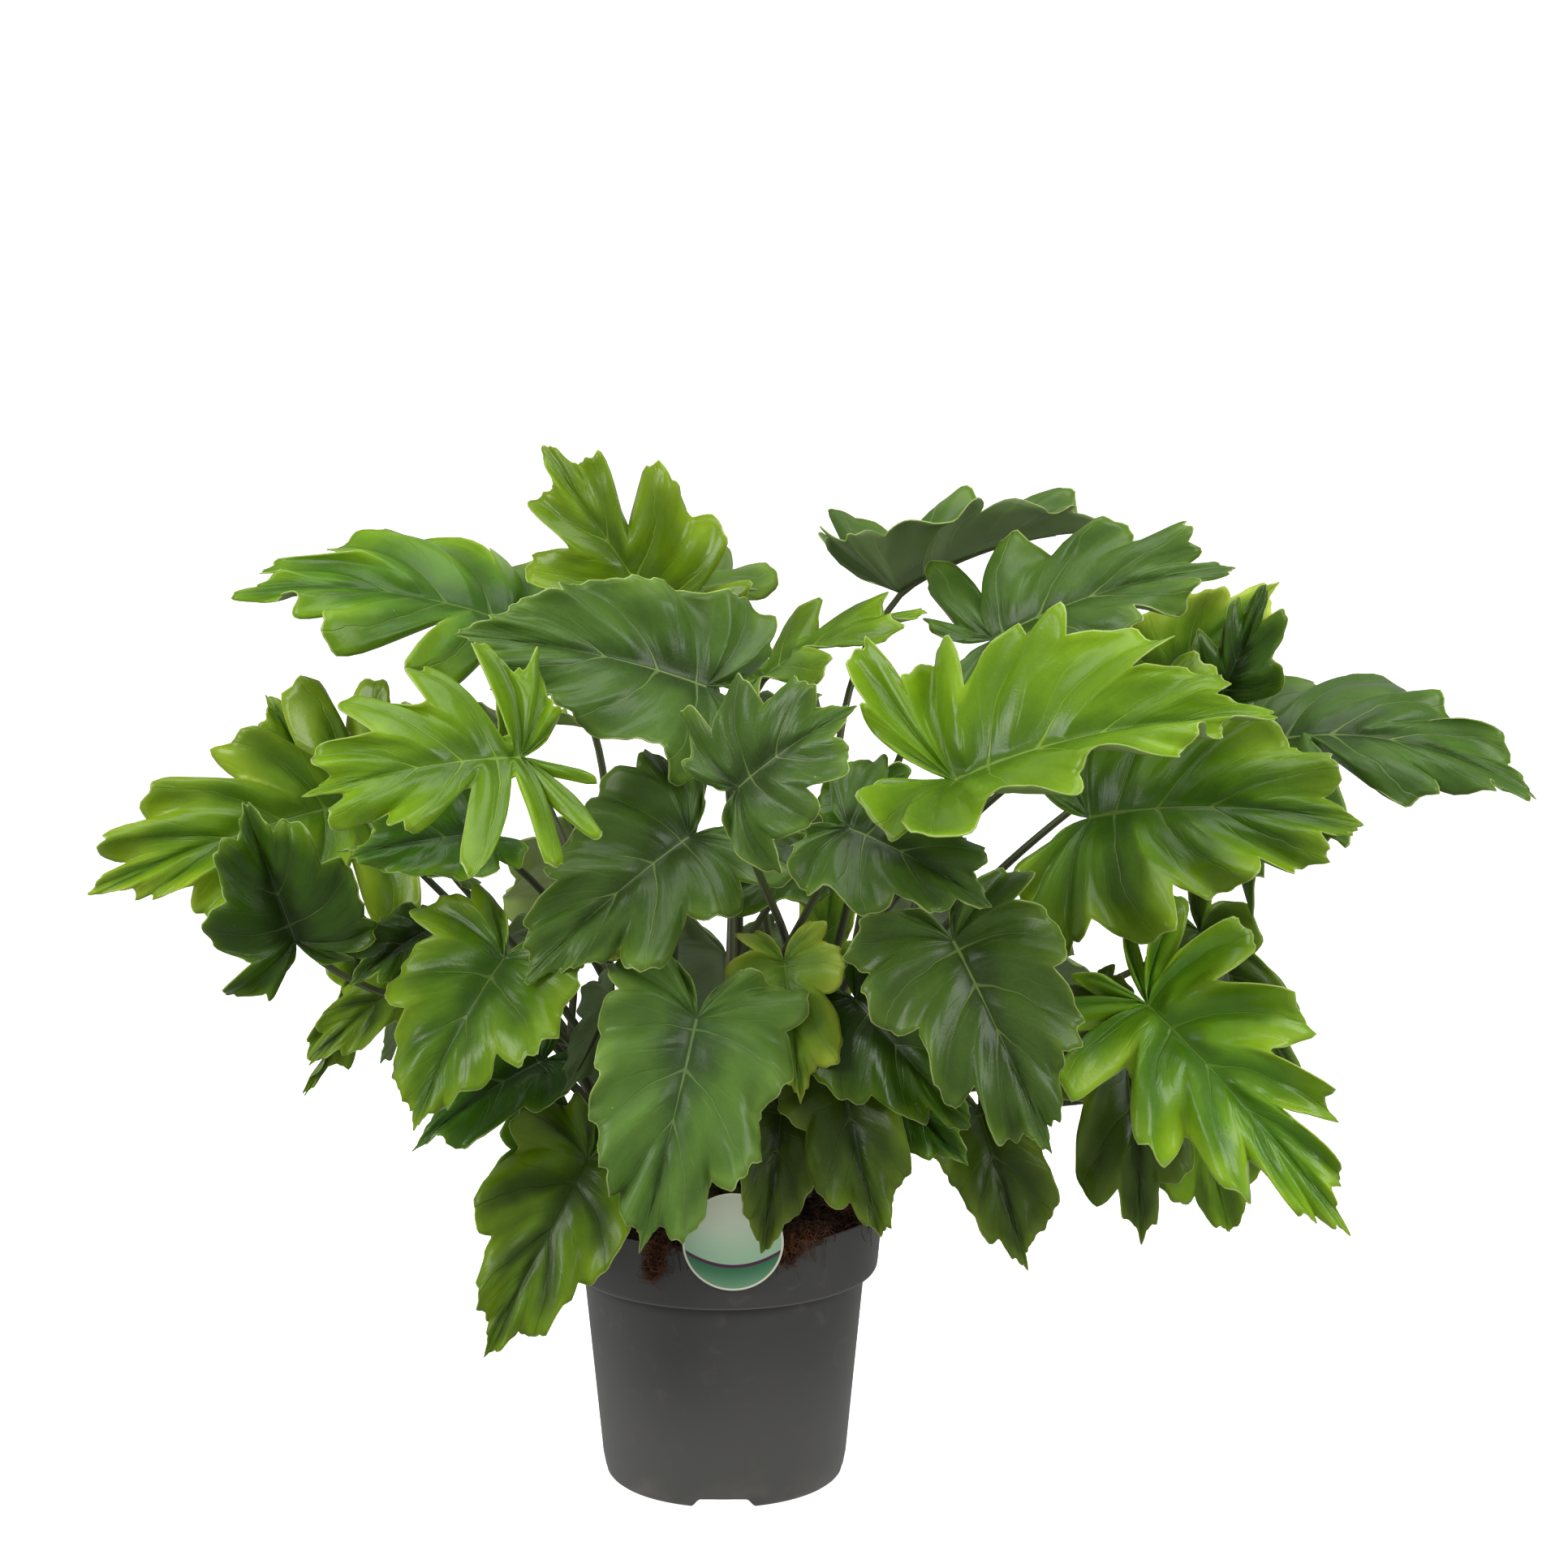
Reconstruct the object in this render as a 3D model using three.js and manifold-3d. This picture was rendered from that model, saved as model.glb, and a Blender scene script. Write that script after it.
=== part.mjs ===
// Potted little hope philodendron, in millimetres, +Z up.
// The origin is the centre of the pot's foot. The front of the plant is at -Y.

import * as THREE from 'three';
import { mergeVertices } from 'three/addons/utils/BufferGeometryUtils.js';
import Module from 'manifold-3d';

const wasm = await Module();
wasm.setup();

// Driving dimensions
const CLEARANCE = 0.3;
const ROUND_SIDES = 28;

const POT = {
  height: 187.5,
  rimRadius: 105.3,
  rimLipRadius: 101.5,
  rimBand: 43.5,
  bodyTopRadius: 93.2,
  footRadius: 79.5,
  footRound: 8,
  wall: 2.2,
  floor: 4,
  raisedFloor: 11,
  raisedFrom: 54,
};
const NOTCH = { count: 4, width: 38, height: 8, depth: 22, drainHole: 9 };

const SOIL = { level: 183, lumps: 3.5, rings: 3 };

const LABEL = { radius: 32.5, thickness: 1, x: 7, topZ: 224.5, hookWidth: 9, stakeDepth: 26 };

const STEMS = {
  centre: { x: 0, y: 5, radius: 19, top: 300 },
  left: { x: -46, y: 12, radius: 14, top: 258 },
  right: { x: 44, y: 16, radius: 14, top: 262 },
};
const STEM_ROOT = 60;

const BLADE = { thickness: 0.9 };
// Margin, in parts of a lobe and of its reach: where a lobe is longest and where the bay after it begins
const MARGIN = { longest: 0.62, bayFrom: 0.78, unevenLobes: 0.14, unevenBays: 0.6, taper: 0.1 };
const SEAT = { lowest: 14, belowTop: 16, spread: 20 };
const PETIOLE = { sides: 5, stepLength: 85, baseRadius: 4.2, neckRadius: 2.1, ribRadius: 1.3 };

// Leaves
// neck: where petiole and blade meet. tip: the end of the midrib. face: where the upper side looks.
// Each stem's leaves are listed from its lowest petiole to its highest.
// wide: width for the length. cut: depth of the bays. arch, fold, ears, twist and swing are degrees.
const LEAF_FORM = {
  wide: 0.9,
  cut: 0.3,
  lobes: 5,
  arch: 35,
  fold: 12,
  droop: 0.25,
  wave: 0.05,
  ears: 12,
  twist: 0,
  stem: 'centre',
  swing: 0,
  rise: 0.45,
  lean: 0.8,
  tone: 'mid',
};

const LEAVES = [
  // Low tier, hanging round the pot
  leaf('low_left', [-85, -120, 250], [-150, -150, 132], [-0.1, -1, 0.1], {
    wide: 0.75, cut: 0.15, stem: 'left', swing: 60, rise: 0.57, lean: 1.3,
  }),
  leaf('low_left_behind', [-100, -70, 250], [-145, -95, 175], [0, -1, 0.1], {
    wide: 1, cut: 0.2, lobes: 4, stem: 'left', swing: -30,
  }),
  leaf('hanging_right', [165, -95, 275], [195, -125, 180], [0, -1, 0.2], {
    wide: 0.75, cut: 0.12, lobes: 4, stem: 'right', tone: 'dark',
  }),
  leaf('low_right_outer', [300, -20, 285], [330, -40, 180], [0.1, -1, 0.1], {
    cut: 0.2, lobes: 4, stem: 'right', tone: 'bright',
  }),
  leaf('pot_front', [38, -128, 285], [25, -150, 200], [0.1, -1, 0.2], { wide: 0.75, cut: 0.12, lobes: 4 }),
  leaf('under_folded', [105, -115, 300], [155, -145, 255], [0, -1, 0.3], {
    wide: 0.8, lobes: 4, tone: 'dark',
  }),
  leaf('low_right_inner', [260, -55, 305], [270, -85, 185], [0.1, -1, 0.2], {
    cut: 0.35, lobes: 4, stem: 'right', swing: 15,
  }),
  leaf('pot_right', [75, -132, 310], [100, -165, 215], [-0.1, -1, 0.2], {
    wide: 0.8, cut: 0.12, lobes: 4, swing: 15,
  }),
  leaf('under_left', [-115, -100, 310], [-195, -130, 260], [-0.2, -0.7, 0.6], {
    wide: 0.75, cut: 0.15, stem: 'left', lobes: 4,
  }),
  leaf('back_low', [0, 140, 320], [5, 180, 210], [0, 0.9, 0.4], { wide: 0.95, lobes: 4, tone: 'dark' }),
  leaf('back_low_left', [-160, 80, 340], [-235, 120, 250], [-0.5, 0.7, 0.5], {
    lobes: 4, stem: 'left', lean: 0.5,
  }),
  // Middle tier
  leaf('between_right', [240, -70, 345], [265, -80, 295], [0, -1, 0.2], {
    wide: 0.9, lobes: 4, stem: 'right', tone: 'dark',
  }),
  leaf('low_right', [270, -110, 350], [395, -160, 215], [0.2, -1, 0.4], {
    wide: 0.8, cut: 0.45, lobes: 7, stem: 'right', swing: -45, tone: 'bright',
  }),
  leaf('small_left', [-205, -50, 350], [-265, -70, 300], [0, -0.8, 0.6], {
    wide: 0.7, lobes: 4, stem: 'left', swing: -15, lean: 0.5,
  }),
  leaf('back_low_right', [170, 100, 350], [240, 150, 260], [0.5, 0.7, 0.5], {
    lobes: 4, stem: 'right', swing: -15,
  }),
  leaf('front_centre', [-15, -165, 355], [-50, -200, 215], [0.1, -1, 0.3], {
    wide: 0.9, cut: 0.16, lobes: 6,
  }),
  leaf('grey_under', [-70, -115, 355], [-100, -140, 300], [0.5, 0.7, 0], {
    wide: 0.8, lobes: 4, stem: 'left', tone: 'dark',
  }),
  leaf('yellow_middle', [65, -20, 355], [75, -20, 430], [0, -0.8, 0.6], {
    wide: 0.7, lobes: 4, swing: 50, rise: 0.5, lean: 0.8, tone: 'yellow',
  }),
  leaf('folded_centre', [85, -135, 360], [155, -175, 290], [-0.3, -0.9, 0.4], {
    wide: 1.05, cut: 0.2, swing: -30, tone: 'dark',
  }),
  leaf('twisted_left', [-235, -25, 365], [-270, -50, 275], [0.7, -0.7, 0], {
    wide: 0.5, lobes: 4, stem: 'left', swing: -15,
  }),
  leaf('left_point', [-100, -30, 370], [-50, -40, 370], [0, -0.8, 0.6], {
    wide: 0.7, lobes: 4, stem: 'left', rise: 0.82, lean: 0.2, tone: 'yellow',
  }),
  leaf('behind_right', [310, -20, 375], [375, -30, 280], [0, -1, 0.2], {
    wide: 0.6, lobes: 4, stem: 'right', tone: 'dark',
  }),
  leaf('back_mid_left', [-90, 170, 380], [-140, 240, 290], [-0.3, 0.8, 0.5], {
    wide: 1, stem: 'left', lobes: 4, tone: 'yellow',
  }),
  leaf('yellow_front', [40, -140, 385], [50, -160, 300], [0, -1, 0.2], {
    wide: 0.9, lobes: 4, tone: 'yellow',
  }),
  leaf('front_left', [-135, -150, 390], [-190, -185, 290], [-0.3, -0.8, 0.5], {
    wide: 1.1, cut: 0.2, stem: 'left', swing: 30, rise: 0.33, lean: 0.5,
  }),
  leaf('curled_left', [-190, -80, 390], [-235, -100, 360], [-0.2, -0.8, 0.5], {
    wide: 0.9, lobes: 4, stem: 'left', swing: -15, tone: 'dark',
  }),
  leaf('dark_left', [-270, -100, 390], [-300, -110, 480], [0.1, -1, 0.3], {
    wide: 1.15, fold: 28, stem: 'left', swing: 60, lean: 0.5, tone: 'dark',
  }),
  leaf('back_mid_right', [100, 170, 390], [145, 250, 300], [0.3, 0.8, 0.5], {
    wide: 1, stem: 'right', lobes: 4,
  }),
  leaf('front_right', [145, -165, 405], [205, -200, 280], [0.1, -1, 0.3], {
    cut: 0.22, lobes: 6, swing: -20, tone: 'dark',
  }),
  leaf('flat_left', [-170, -100, 435], [-240, -110, 450], [0, -0.3, 1], {
    wide: 0.8, lobes: 4, stem: 'left', swing: 30, lean: 0.5,
  }),
  leaf('edge_middle', [55, -70, 425], [-20, -90, 410], [0, -0.6, 0.8], {
    wide: 0.8, lobes: 4, swing: -20, lean: 1.3, tone: 'dark',
  }),
  leaf('far_left', [-240, 0, 457], [-405, -55, 410], [0.05, -0.85, 0.55], {
    wide: 0.9, cut: 0.3, lobes: 7, stem: 'left', swing: -5, lean: 0.5, tone: 'bright',
  }),
  leaf('big_right', [235, -60, 460], [400, -120, 470], [0, -0.8, 0.6], {
    wide: 1.2, cut: 0.2, lobes: 7, arch: 50, stem: 'right', swing: -60, lean: 0.5,
  }),
  leaf('far_left_behind', [-265, 30, 465], [-300, 40, 520], [0, -0.9, 0.4], {
    lobes: 4, stem: 'left', swing: -45, rise: 0.2, lean: 0.2, tone: 'bright',
  }),
  leaf('under_fingered', [-150, -130, 465], [-230, -150, 455], [0, -0.8, 0.6], {
    wide: 0.9, lobes: 4, stem: 'left', swing: 45, tone: 'dark',
  }),
  leaf('dark_middle', [-20, -130, 463], [-120, -175, 383], [0, -0.8, 0.6], {
    wide: 0.94, cut: 0.22, lobes: 6, swing: -30, rise: 0.57, lean: 0.5, tone: 'dark',
  }),
  // Top tier
  leaf('behind_lobed', [95, -70, 475], [95, -90, 395], [0, -1, 0.2], {
    wide: 0.9, lobes: 4, swing: -10, rise: 0.57, lean: 0.2, tone: 'dark',
  }),
  leaf('lobed_middle', [80, -180, 480], [165, -215, 440], [0, -0.8, 0.6], {
    wide: 1, swing: 10, lean: 0.5, tone: 'dark',
  }),
  leaf('back_centre', [10, 170, 480], [15, 290, 420], [0, 0.7, 0.7], { wide: 1, lobes: 4, tone: 'dark' }),
  leaf('back_left', [-150, 130, 480], [-250, 210, 440], [-0.3, 0.5, 0.8], {
    wide: 1, lobes: 4, stem: 'left', tone: 'bright',
  }),
  leaf('back_right', [160, 140, 490], [260, 220, 450], [0.3, 0.5, 0.8], {
    wide: 1, lobes: 4, stem: 'right', lean: 0.2, tone: 'bright',
  }),
  leaf('far_right', [345, 0, 495], [520, -40, 470], [0, -0.45, 0.9], {
    wide: 1.1, cut: 0.55, lobes: 7, arch: 60, droop: 1.0, stem: 'right', tone: 'dark',
  }),
  leaf('glossy_middle', [13, -262, 524], [82, -277, 576], [0.2, -0.7, 0.6], {
    wide: 1.3, swing: 55, rise: 0.33, lean: 0.5, tone: 'dark',
  }),
  leaf('bright_right', [145, -180, 510], [335, -210, 555], [0, -0.5, 0.87], {
    wide: 1, cut: 0.33, lobes: 7, fold: 28, droop: 0.15, ears: 40,
    stem: 'right', swing: -45, rise: 0.2, lean: 0.5, tone: 'bright',
  }),
  leaf('fingered', [-121, -196, 528], [-249, -241, 514], [0, -0.8, 0.6], {
    wide: 1.15, cut: 0.55, lobes: 7, tone: 'bright',
  }),
  leaf('dark_fingers', [320, -10, 525], [350, 0, 600], [0, -1, 0.2], {
    wide: 0.9, cut: 0.4, stem: 'right', tone: 'dark',
  }),
  leaf('yellow_right', [286, 78, 523], [366, 78, 588], [0, -1, 0.2], {
    wide: 0.9, lobes: 4, stem: 'right', swing: 60, rise: 0.33, lean: 1, tone: 'yellow',
  }),
  leaf('top_narrow', [25, 20, 535], [130, 10, 580], [-0.3, -0.3, 1], {
    wide: 0.8, cut: 0.45, lean: 0.5, tone: 'bright',
  }),
  leaf('top_middle', [-10, -88, 551], [-161, -128, 591], [-0.1, -0.8, 0.6], {
    wide: 0.85, cut: 0.15, lobes: 6, tone: 'dark',
  }),
  leaf('dark_top_right', [175, -12, 567], [325, -32, 617], [-0.2, -0.6, 0.8], {
    wide: 0.9, cut: 0.35, lobes: 6, stem: 'right', swing: 20, tone: 'dark',
  }),
  leaf('top_left', [-130, 10, 570], [-310, -10, 598], [0, -0.4, 0.9], {
    wide: 1.15, cut: 0.45, lobes: 7, droop: 0.6, ears: 32, stem: 'left', swing: 15, tone: 'bright',
  }),
  leaf('back_top', [-20, 120, 575], [-45, 235, 585], [0, 0.3, 1], { lobes: 4 }),
  leaf('crest', [-40, 4, 580], [-115, 32, 685], [-0.3, -0.8, 0.5], {
    wide: 1.1, cut: 0.44, lobes: 6, wave: 0.06, tone: 'bright',
  }),
  leaf('top_right', [115, 60, 585], [255, 60, 625], [0, 0.1, 1], {
    wide: 0.8, fold: 38, droop: 0, ears: 50, stem: 'right', swing: -60, tone: 'dark',
  }),
];

function leaf(name, neck, tip, face, form = {}) {
  const vector = ([x, y, z]) => new THREE.Vector3(x, y, z);
  const full = { ...LEAF_FORM, ...form, name, neck: vector(neck), tip: vector(tip), face: vector(face) };
  const draw = seededDraw(name);
  full.phase = 3 * draw();
  full.draws = Array.from({ length: 4 * full.lobes }, draw);
  return full;
}

// A seeded draw, the same on every run
function seededDraw(text) {
  let state = 7;
  for (const letter of text) {
    state = (state * 31 + letter.charCodeAt(0)) % 2147483647;
  }
  return () => {
    state = (state * 48271) % 2147483647;
    return (state / 2147483647) * 2 - 1;
  };
}

// Solids
function toSolid(geometry) {
  const bare = geometry.clone();
  bare.deleteAttribute('normal');
  bare.deleteAttribute('uv');
  const merged = mergeVertices(bare, 1e-4);
  const vertProperties = new Float32Array(merged.attributes.position.array);
  const triVerts = new Uint32Array(merged.index.array);
  return new wasm.Manifold(new wasm.Mesh({ numProp: 3, vertProperties, triVerts }));
}

function toGeometry(solid) {
  const mesh = solid.getMesh();
  const geometry = new THREE.BufferGeometry();
  geometry.setAttribute('position', new THREE.BufferAttribute(mesh.vertProperties, 3));
  geometry.setIndex(new THREE.BufferAttribute(mesh.triVerts, 1));
  return geometry;
}

function boxSolid(width, depth, height, x, y, z) {
  return toSolid(new THREE.BoxGeometry(width, depth, height).translate(x, y, z));
}

function cylinderSolid(radius, height, sides, x, y, z) {
  const geometry = new THREE.CylinderGeometry(radius, radius, height, sides);
  return toSolid(geometry.rotateX(Math.PI / 2).translate(x, y, z));
}

function turnedSolid(profile) {
  const points = profile.map(([radius, z]) => new THREE.Vector2(radius, z));
  return toSolid(new THREE.LatheGeometry(points, ROUND_SIDES).rotateX(Math.PI / 2));
}

// Pot
function bodyRadius(z) {
  const part = z / (POT.height - POT.rimBand);
  return THREE.MathUtils.lerp(POT.footRadius, POT.bodyTopRadius, part);
}

function potSolid() {
  const lip = POT.height - POT.rimBand;
  const round = POT.footRound;
  const { wall, floor, raisedFloor, raisedFrom } = POT;
  const outside = [
    [0, 0],
    [POT.footRadius - round, 0],
    [POT.footRadius - 0.3 * round, 0.3 * round],
    [bodyRadius(round), round],
    [bodyRadius(lip), lip],
    [POT.rimLipRadius - 2, lip],
    [POT.rimLipRadius, lip + 2.5],
    [POT.rimRadius, POT.height - 1.2],
    [POT.rimRadius - 0.6, POT.height],
  ];
  const inside = [
    [POT.rimRadius - wall, POT.height],
    [POT.rimLipRadius - wall, lip + 4],
    [bodyRadius(lip) - wall, lip + 1],
    [bodyRadius(raisedFloor) - wall, raisedFloor],
    [raisedFrom, raisedFloor],
    [raisedFrom - 3, floor],
    [0, floor],
  ];
  let pot = turnedSolid([...outside, ...inside]);
  for (let index = 0; index < NOTCH.count; index += 1) {
    pot = pot.subtract(drainNotch((index * 360) / NOTCH.count));
  }
  return pot;
}

function drainNotch(degrees) {
  const { width, height, depth, drainHole } = NOTCH;
  const reach = POT.footRadius + 10;
  const pocket = boxSolid(width, depth + 10, height + 10, 0, -reach + (depth + 10) / 2, height / 2 - 5);
  const hole = cylinderSolid(drainHole / 2, 20, 8, 0, -POT.footRadius + depth / 2, height);
  return pocket.add(hole).rotate([0, 0, degrees]);
}

// Soil
function soilHeight(x, y) {
  const bumps = Math.sin(x * 0.11 + 1) * Math.cos(y * 0.13) + 0.6 * Math.sin(x * 0.23 - y * 0.19 + 2);
  return SOIL.level + SOIL.lumps * bumps;
}

function soilSolid() {
  const lip = POT.height - POT.rimBand;
  const inset = POT.wall + CLEARANCE;
  const { floor, raisedFloor, raisedFrom } = POT;
  const edge = POT.rimRadius - inset - 1.2;
  const top = [];
  for (let ring = 0; ring <= SOIL.rings; ring += 1) {
    top.push([(edge * (SOIL.rings - ring)) / SOIL.rings, SOIL.level]);
  }
  const points = [
    [0, floor + CLEARANCE],
    [raisedFrom - 3.3, floor + CLEARANCE],
    [raisedFrom - 0.4, raisedFloor + CLEARANCE],
    [bodyRadius(raisedFloor) - inset, raisedFloor + CLEARANCE],
    [bodyRadius(lip) - inset, lip + 1 + CLEARANCE],
    [POT.rimLipRadius - inset, lip + 4 + CLEARANCE],
    ...top,
  ].map(([radius, z]) => new THREE.Vector2(radius, z));
  const geometry = new THREE.LatheGeometry(points, ROUND_SIDES).rotateX(Math.PI / 2);
  const place = geometry.attributes.position;
  for (let index = 0; index < place.count; index += 1) {
    if (place.getZ(index) > SOIL.level - 1) {
      place.setZ(index, soilHeight(place.getX(index), place.getY(index)));
    }
  }
  let soil = toSolid(geometry);
  for (const stem of Object.values(STEMS)) {
    const bottom = SOIL.level - STEM_ROOT - CLEARANCE;
    const height = 2 * (POT.height - bottom);
    soil = soil.subtract(
      cylinderSolid(stem.radius + 2 * CLEARANCE, height, 16, stem.x, stem.y, bottom + height / 2),
    );
  }
  return soil.subtract(labelStake(CLEARANCE));
}

// Plant label: a round card before the rim, hooked over it into the soil
const labelBack = -POT.rimRadius - CLEARANCE;
const stakeY = -POT.rimRadius + POT.wall + 6;

function labelStake(grow) {
  const { thickness, hookWidth, stakeDepth, x } = LABEL;
  const top = POT.height + CLEARANCE + thickness + grow;
  const bottom = SOIL.level - stakeDepth - grow;
  const width = hookWidth + 2 * grow;
  return boxSolid(width, thickness + 2 * grow, top - bottom, x, stakeY, (top + bottom) / 2);
}

function labelSolid() {
  const { radius, thickness, hookWidth, x, topZ } = LABEL;
  const card = new THREE.CylinderGeometry(radius, radius, thickness, 32);
  card.translate(x, labelBack - thickness / 2, topZ - radius);
  const bridgeLength = stakeY + thickness / 2 - labelBack + thickness / 2;
  const bridge = boxSolid(
    hookWidth,
    bridgeLength,
    thickness,
    x,
    labelBack - thickness / 2 + bridgeLength / 2,
    POT.height + CLEARANCE + thickness / 2,
  );
  return toSolid(card).add(bridge).add(labelStake(0));
}

// Stems: short knobbed crowns that the petioles rise from
function stemSolid({ x, y, radius, top }) {
  const bottom = SOIL.level - STEM_ROOT;
  const points = [new THREE.Vector2(0, bottom), new THREE.Vector2(radius, bottom)];
  points.push(new THREE.Vector2(radius, top - 0.5 * radius));
  points.push(new THREE.Vector2(0.6 * radius, top - 0.1 * radius));
  points.push(new THREE.Vector2(0, top));
  return toSolid(new THREE.LatheGeometry(points, 16).rotateX(Math.PI / 2).translate(x, y, 0));
}

// Blade outline, in blade lengths: a runs from the sinus at the neck to the tip, on either side
function smooth(low, high, value) {
  const part = THREE.MathUtils.clamp((value - low) / (high - low), 0, 1);
  return part * part * (3 - 2 * part);
}

function veinFoot(a) {
  return 0.8 * Math.max(0, (a - 0.35) / 0.65) ** 1.4;
}

function veinAngle(a) {
  return THREE.MathUtils.degToRad(170 * (1 - a) ** 1.15 + 8 * a * (1 - a));
}

function veinReach(a) {
  const swell = 0.2 * a + 0.4 * Math.max(0, Math.sin(Math.PI * a)) ** 0.7;
  const taper = 1 - MARGIN.taper * smooth(0.72, 0.86, a) * smooth(1, 0.95, a);
  return swell * taper * (1 + 0.45 * Math.max(0, -Math.cos(veinAngle(a))));
}

// How deep a place on a lobe lies in the bay before or after it, from 0 to 1. The deeper a blade is cut,
// the broader its bays are, so that its lobes become fingers
function bayShare(part, cut) {
  const { longest, bayFrom } = MARGIN;
  const fingers = smooth(0.25, 0.5, cut);
  if (part < longest) {
    return THREE.MathUtils.lerp((1 - part / longest) ** 2, smooth(0.46, 0.12, part), fingers);
  }
  const sharpness = THREE.MathUtils.lerp(1.6, 0.8, fingers);
  return Math.max(0, (part - bayFrom) / (1 - bayFrom)) ** sharpness;
}

// How far the edge stands out at a: lobes of uneven length that point forward, with uneven bays
function edgeReach(form, side, a) {
  const { lobes, draws, cut } = form;
  const index = Math.min(lobes - 1, Math.floor(a * lobes + 1e-6));
  const part = a * lobes - index;
  const isRising = part < MARGIN.longest;
  const isBare = (index === 0 && isRising) || (index === lobes - 1 && !isRising);
  const lobe = index + (side > 0 ? 0 : lobes);
  const bayDraw = draws[2 * lobes + lobe - (isRising ? 1 : 0)];
  const shallower = 1 - 0.25 * smooth(0.65, 0.75, a) - 0.3 * smooth(0.75, 0.85, a);
  const depth = isBare ? 0 : cut * (1 + MARGIN.unevenBays * bayDraw) * shallower;
  const uneven = MARGIN.unevenLobes * draws[lobe] * Math.sin(Math.PI * part);
  return veinReach(a) * (1 - depth * bayShare(part, cut)) * (1 + uneven);
}

// The blade's middle surface at vein a and part b of the way from midrib to edge
function bladePoint(form, side, a, b) {
  const angle = veinAngle(a) - 0.3 * b * Math.sin(Math.PI * a);
  const reach = edgeReach(form, side, a) * b;
  const along = veinFoot(a) + reach * Math.cos(angle);
  const across = reach * Math.sin(angle) * form.wide;
  const radians = THREE.MathUtils.degToRad;
  const ends = smooth(0, 0.1, a) * smooth(1, 0.72, a);
  const ripple = ends * form.wave * b * b * Math.sin(2 * Math.PI * form.lobes * a + form.phase + side);
  const height = across * Math.tan(radians(form.fold)) - form.droop * across * across + ripple;
  const twist = radians(form.twist) * along;
  const sideways = side * (across * Math.cos(twist)) - height * Math.sin(twist);
  const upward = height * Math.cos(twist) + side * across * Math.sin(twist);
  const turn = radians(form.arch);
  const bend = turn * Math.max(0, along);
  const back = Math.min(0, along);
  const lift = radians(form.ears);
  return new THREE.Vector3(
    Math.sin(bend) / turn + upward * Math.sin(bend) + back * Math.cos(lift),
    sideways,
    (Math.cos(bend) - 1) / turn + upward * Math.cos(bend) - back * Math.sin(lift),
  );
}

// Turns and scales the blade so that its midrib runs from neck to tip
function bladePlacement(form) {
  const turn = THREE.MathUtils.degToRad(form.arch);
  const chord = form.tip.clone().sub(form.neck);
  const scale = chord.length() / ((2 * Math.sin(turn / 2)) / turn);
  const forward = chord.clone().normalize();
  const upward = form.face.clone().addScaledVector(forward, -form.face.dot(forward)).normalize();
  const axes = new THREE.Matrix4().makeBasis(forward, upward.clone().cross(forward), upward);
  return new THREE.Matrix4()
    .makeTranslation(form.neck)
    .multiply(axes)
    .multiply(new THREE.Matrix4().makeRotationY(-turn / 2))
    .multiply(new THREE.Matrix4().makeScale(scale, scale, scale));
}

// One blade: a middle surface of triangles, and the same triangles on both faces
function bladeGeometry(form) {
  const place = bladePlacement(form);
  const points = [];
  const faces = [];
  const outline = [];
  const add = (point) => points.push(point.applyMatrix4(place)) - 1;
  const neck = add(bladePoint(form, 1, 0, 0));
  const tip = add(bladePoint(form, 1, 1, 1));
  const ribs = [neck];
  for (let index = 1; index < form.lobes; index += 1) {
    const a = index / form.lobes;
    ribs.push(veinFoot(a) < 0.03 ? neck : add(bladePoint(form, 1, a, 0)));
  }
  ribs.push(tip);
  for (const side of [1, -1]) {
    const edge = [neck];
    const face = (i, j, k) => {
      if (i !== j && j !== k && k !== i) {
        faces.push(side > 0 ? [i, k, j] : [i, j, k]);
      }
    };
    let bay = neck;
    for (let index = 0; index < form.lobes; index += 1) {
      const at = (part) => (index + part) / form.lobes;
      const centre = add(bladePoint(form, side, at(0.5), 0.5));
      const first = add(bladePoint(form, side, at(0.16), 1));
      const end = add(bladePoint(form, side, at(0.45), 1));
      const last = add(bladePoint(form, side, at(0.8), 1));
      const next = index === form.lobes - 1 ? tip : add(bladePoint(form, side, at(1), 1));
      face(centre, bay, first);
      face(centre, first, end);
      face(centre, end, last);
      face(centre, last, next);
      face(centre, next, ribs[index + 1]);
      face(centre, ribs[index + 1], ribs[index]);
      face(centre, ribs[index], bay);
      edge.push(first, end, last, next);
      bay = next;
    }
    outline.push(edge);
  }
  const loop = [...outline[0], ...outline[1].slice(1, -1).reverse()];
  return { geometry: thicken(points, faces, loop), rib: [neck, ribs.find((rib) => rib !== neck)], points };
}

function thicken(points, faces, loop) {
  const normals = points.map(() => new THREE.Vector3());
  for (const [i, j, k] of faces) {
    const first = points[j].clone().sub(points[i]);
    const normal = first.cross(points[k].clone().sub(points[i]));
    [i, j, k].forEach((corner) => normals[corner].add(normal));
  }
  const count = points.length;
  const half = BLADE.thickness / 2;
  const positions = [half, -half].flatMap((offset) =>
    points.flatMap((point, index) =>
      point.clone().addScaledVector(normals[index].clone().normalize(), offset).toArray(),
    ),
  );
  const indices = [];
  for (const [i, j, k] of faces) {
    indices.push(i, j, k, i + count, k + count, j + count);
  }
  loop.forEach((here, step) => {
    const next = loop[(step + 1) % loop.length];
    indices.push(here, next, here + count, next, next + count, here + count);
  });
  const geometry = new THREE.BufferGeometry();
  geometry.setAttribute('position', new THREE.Float32BufferAttribute(positions, 3));
  geometry.setIndex(indices);
  return geometry;
}

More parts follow.
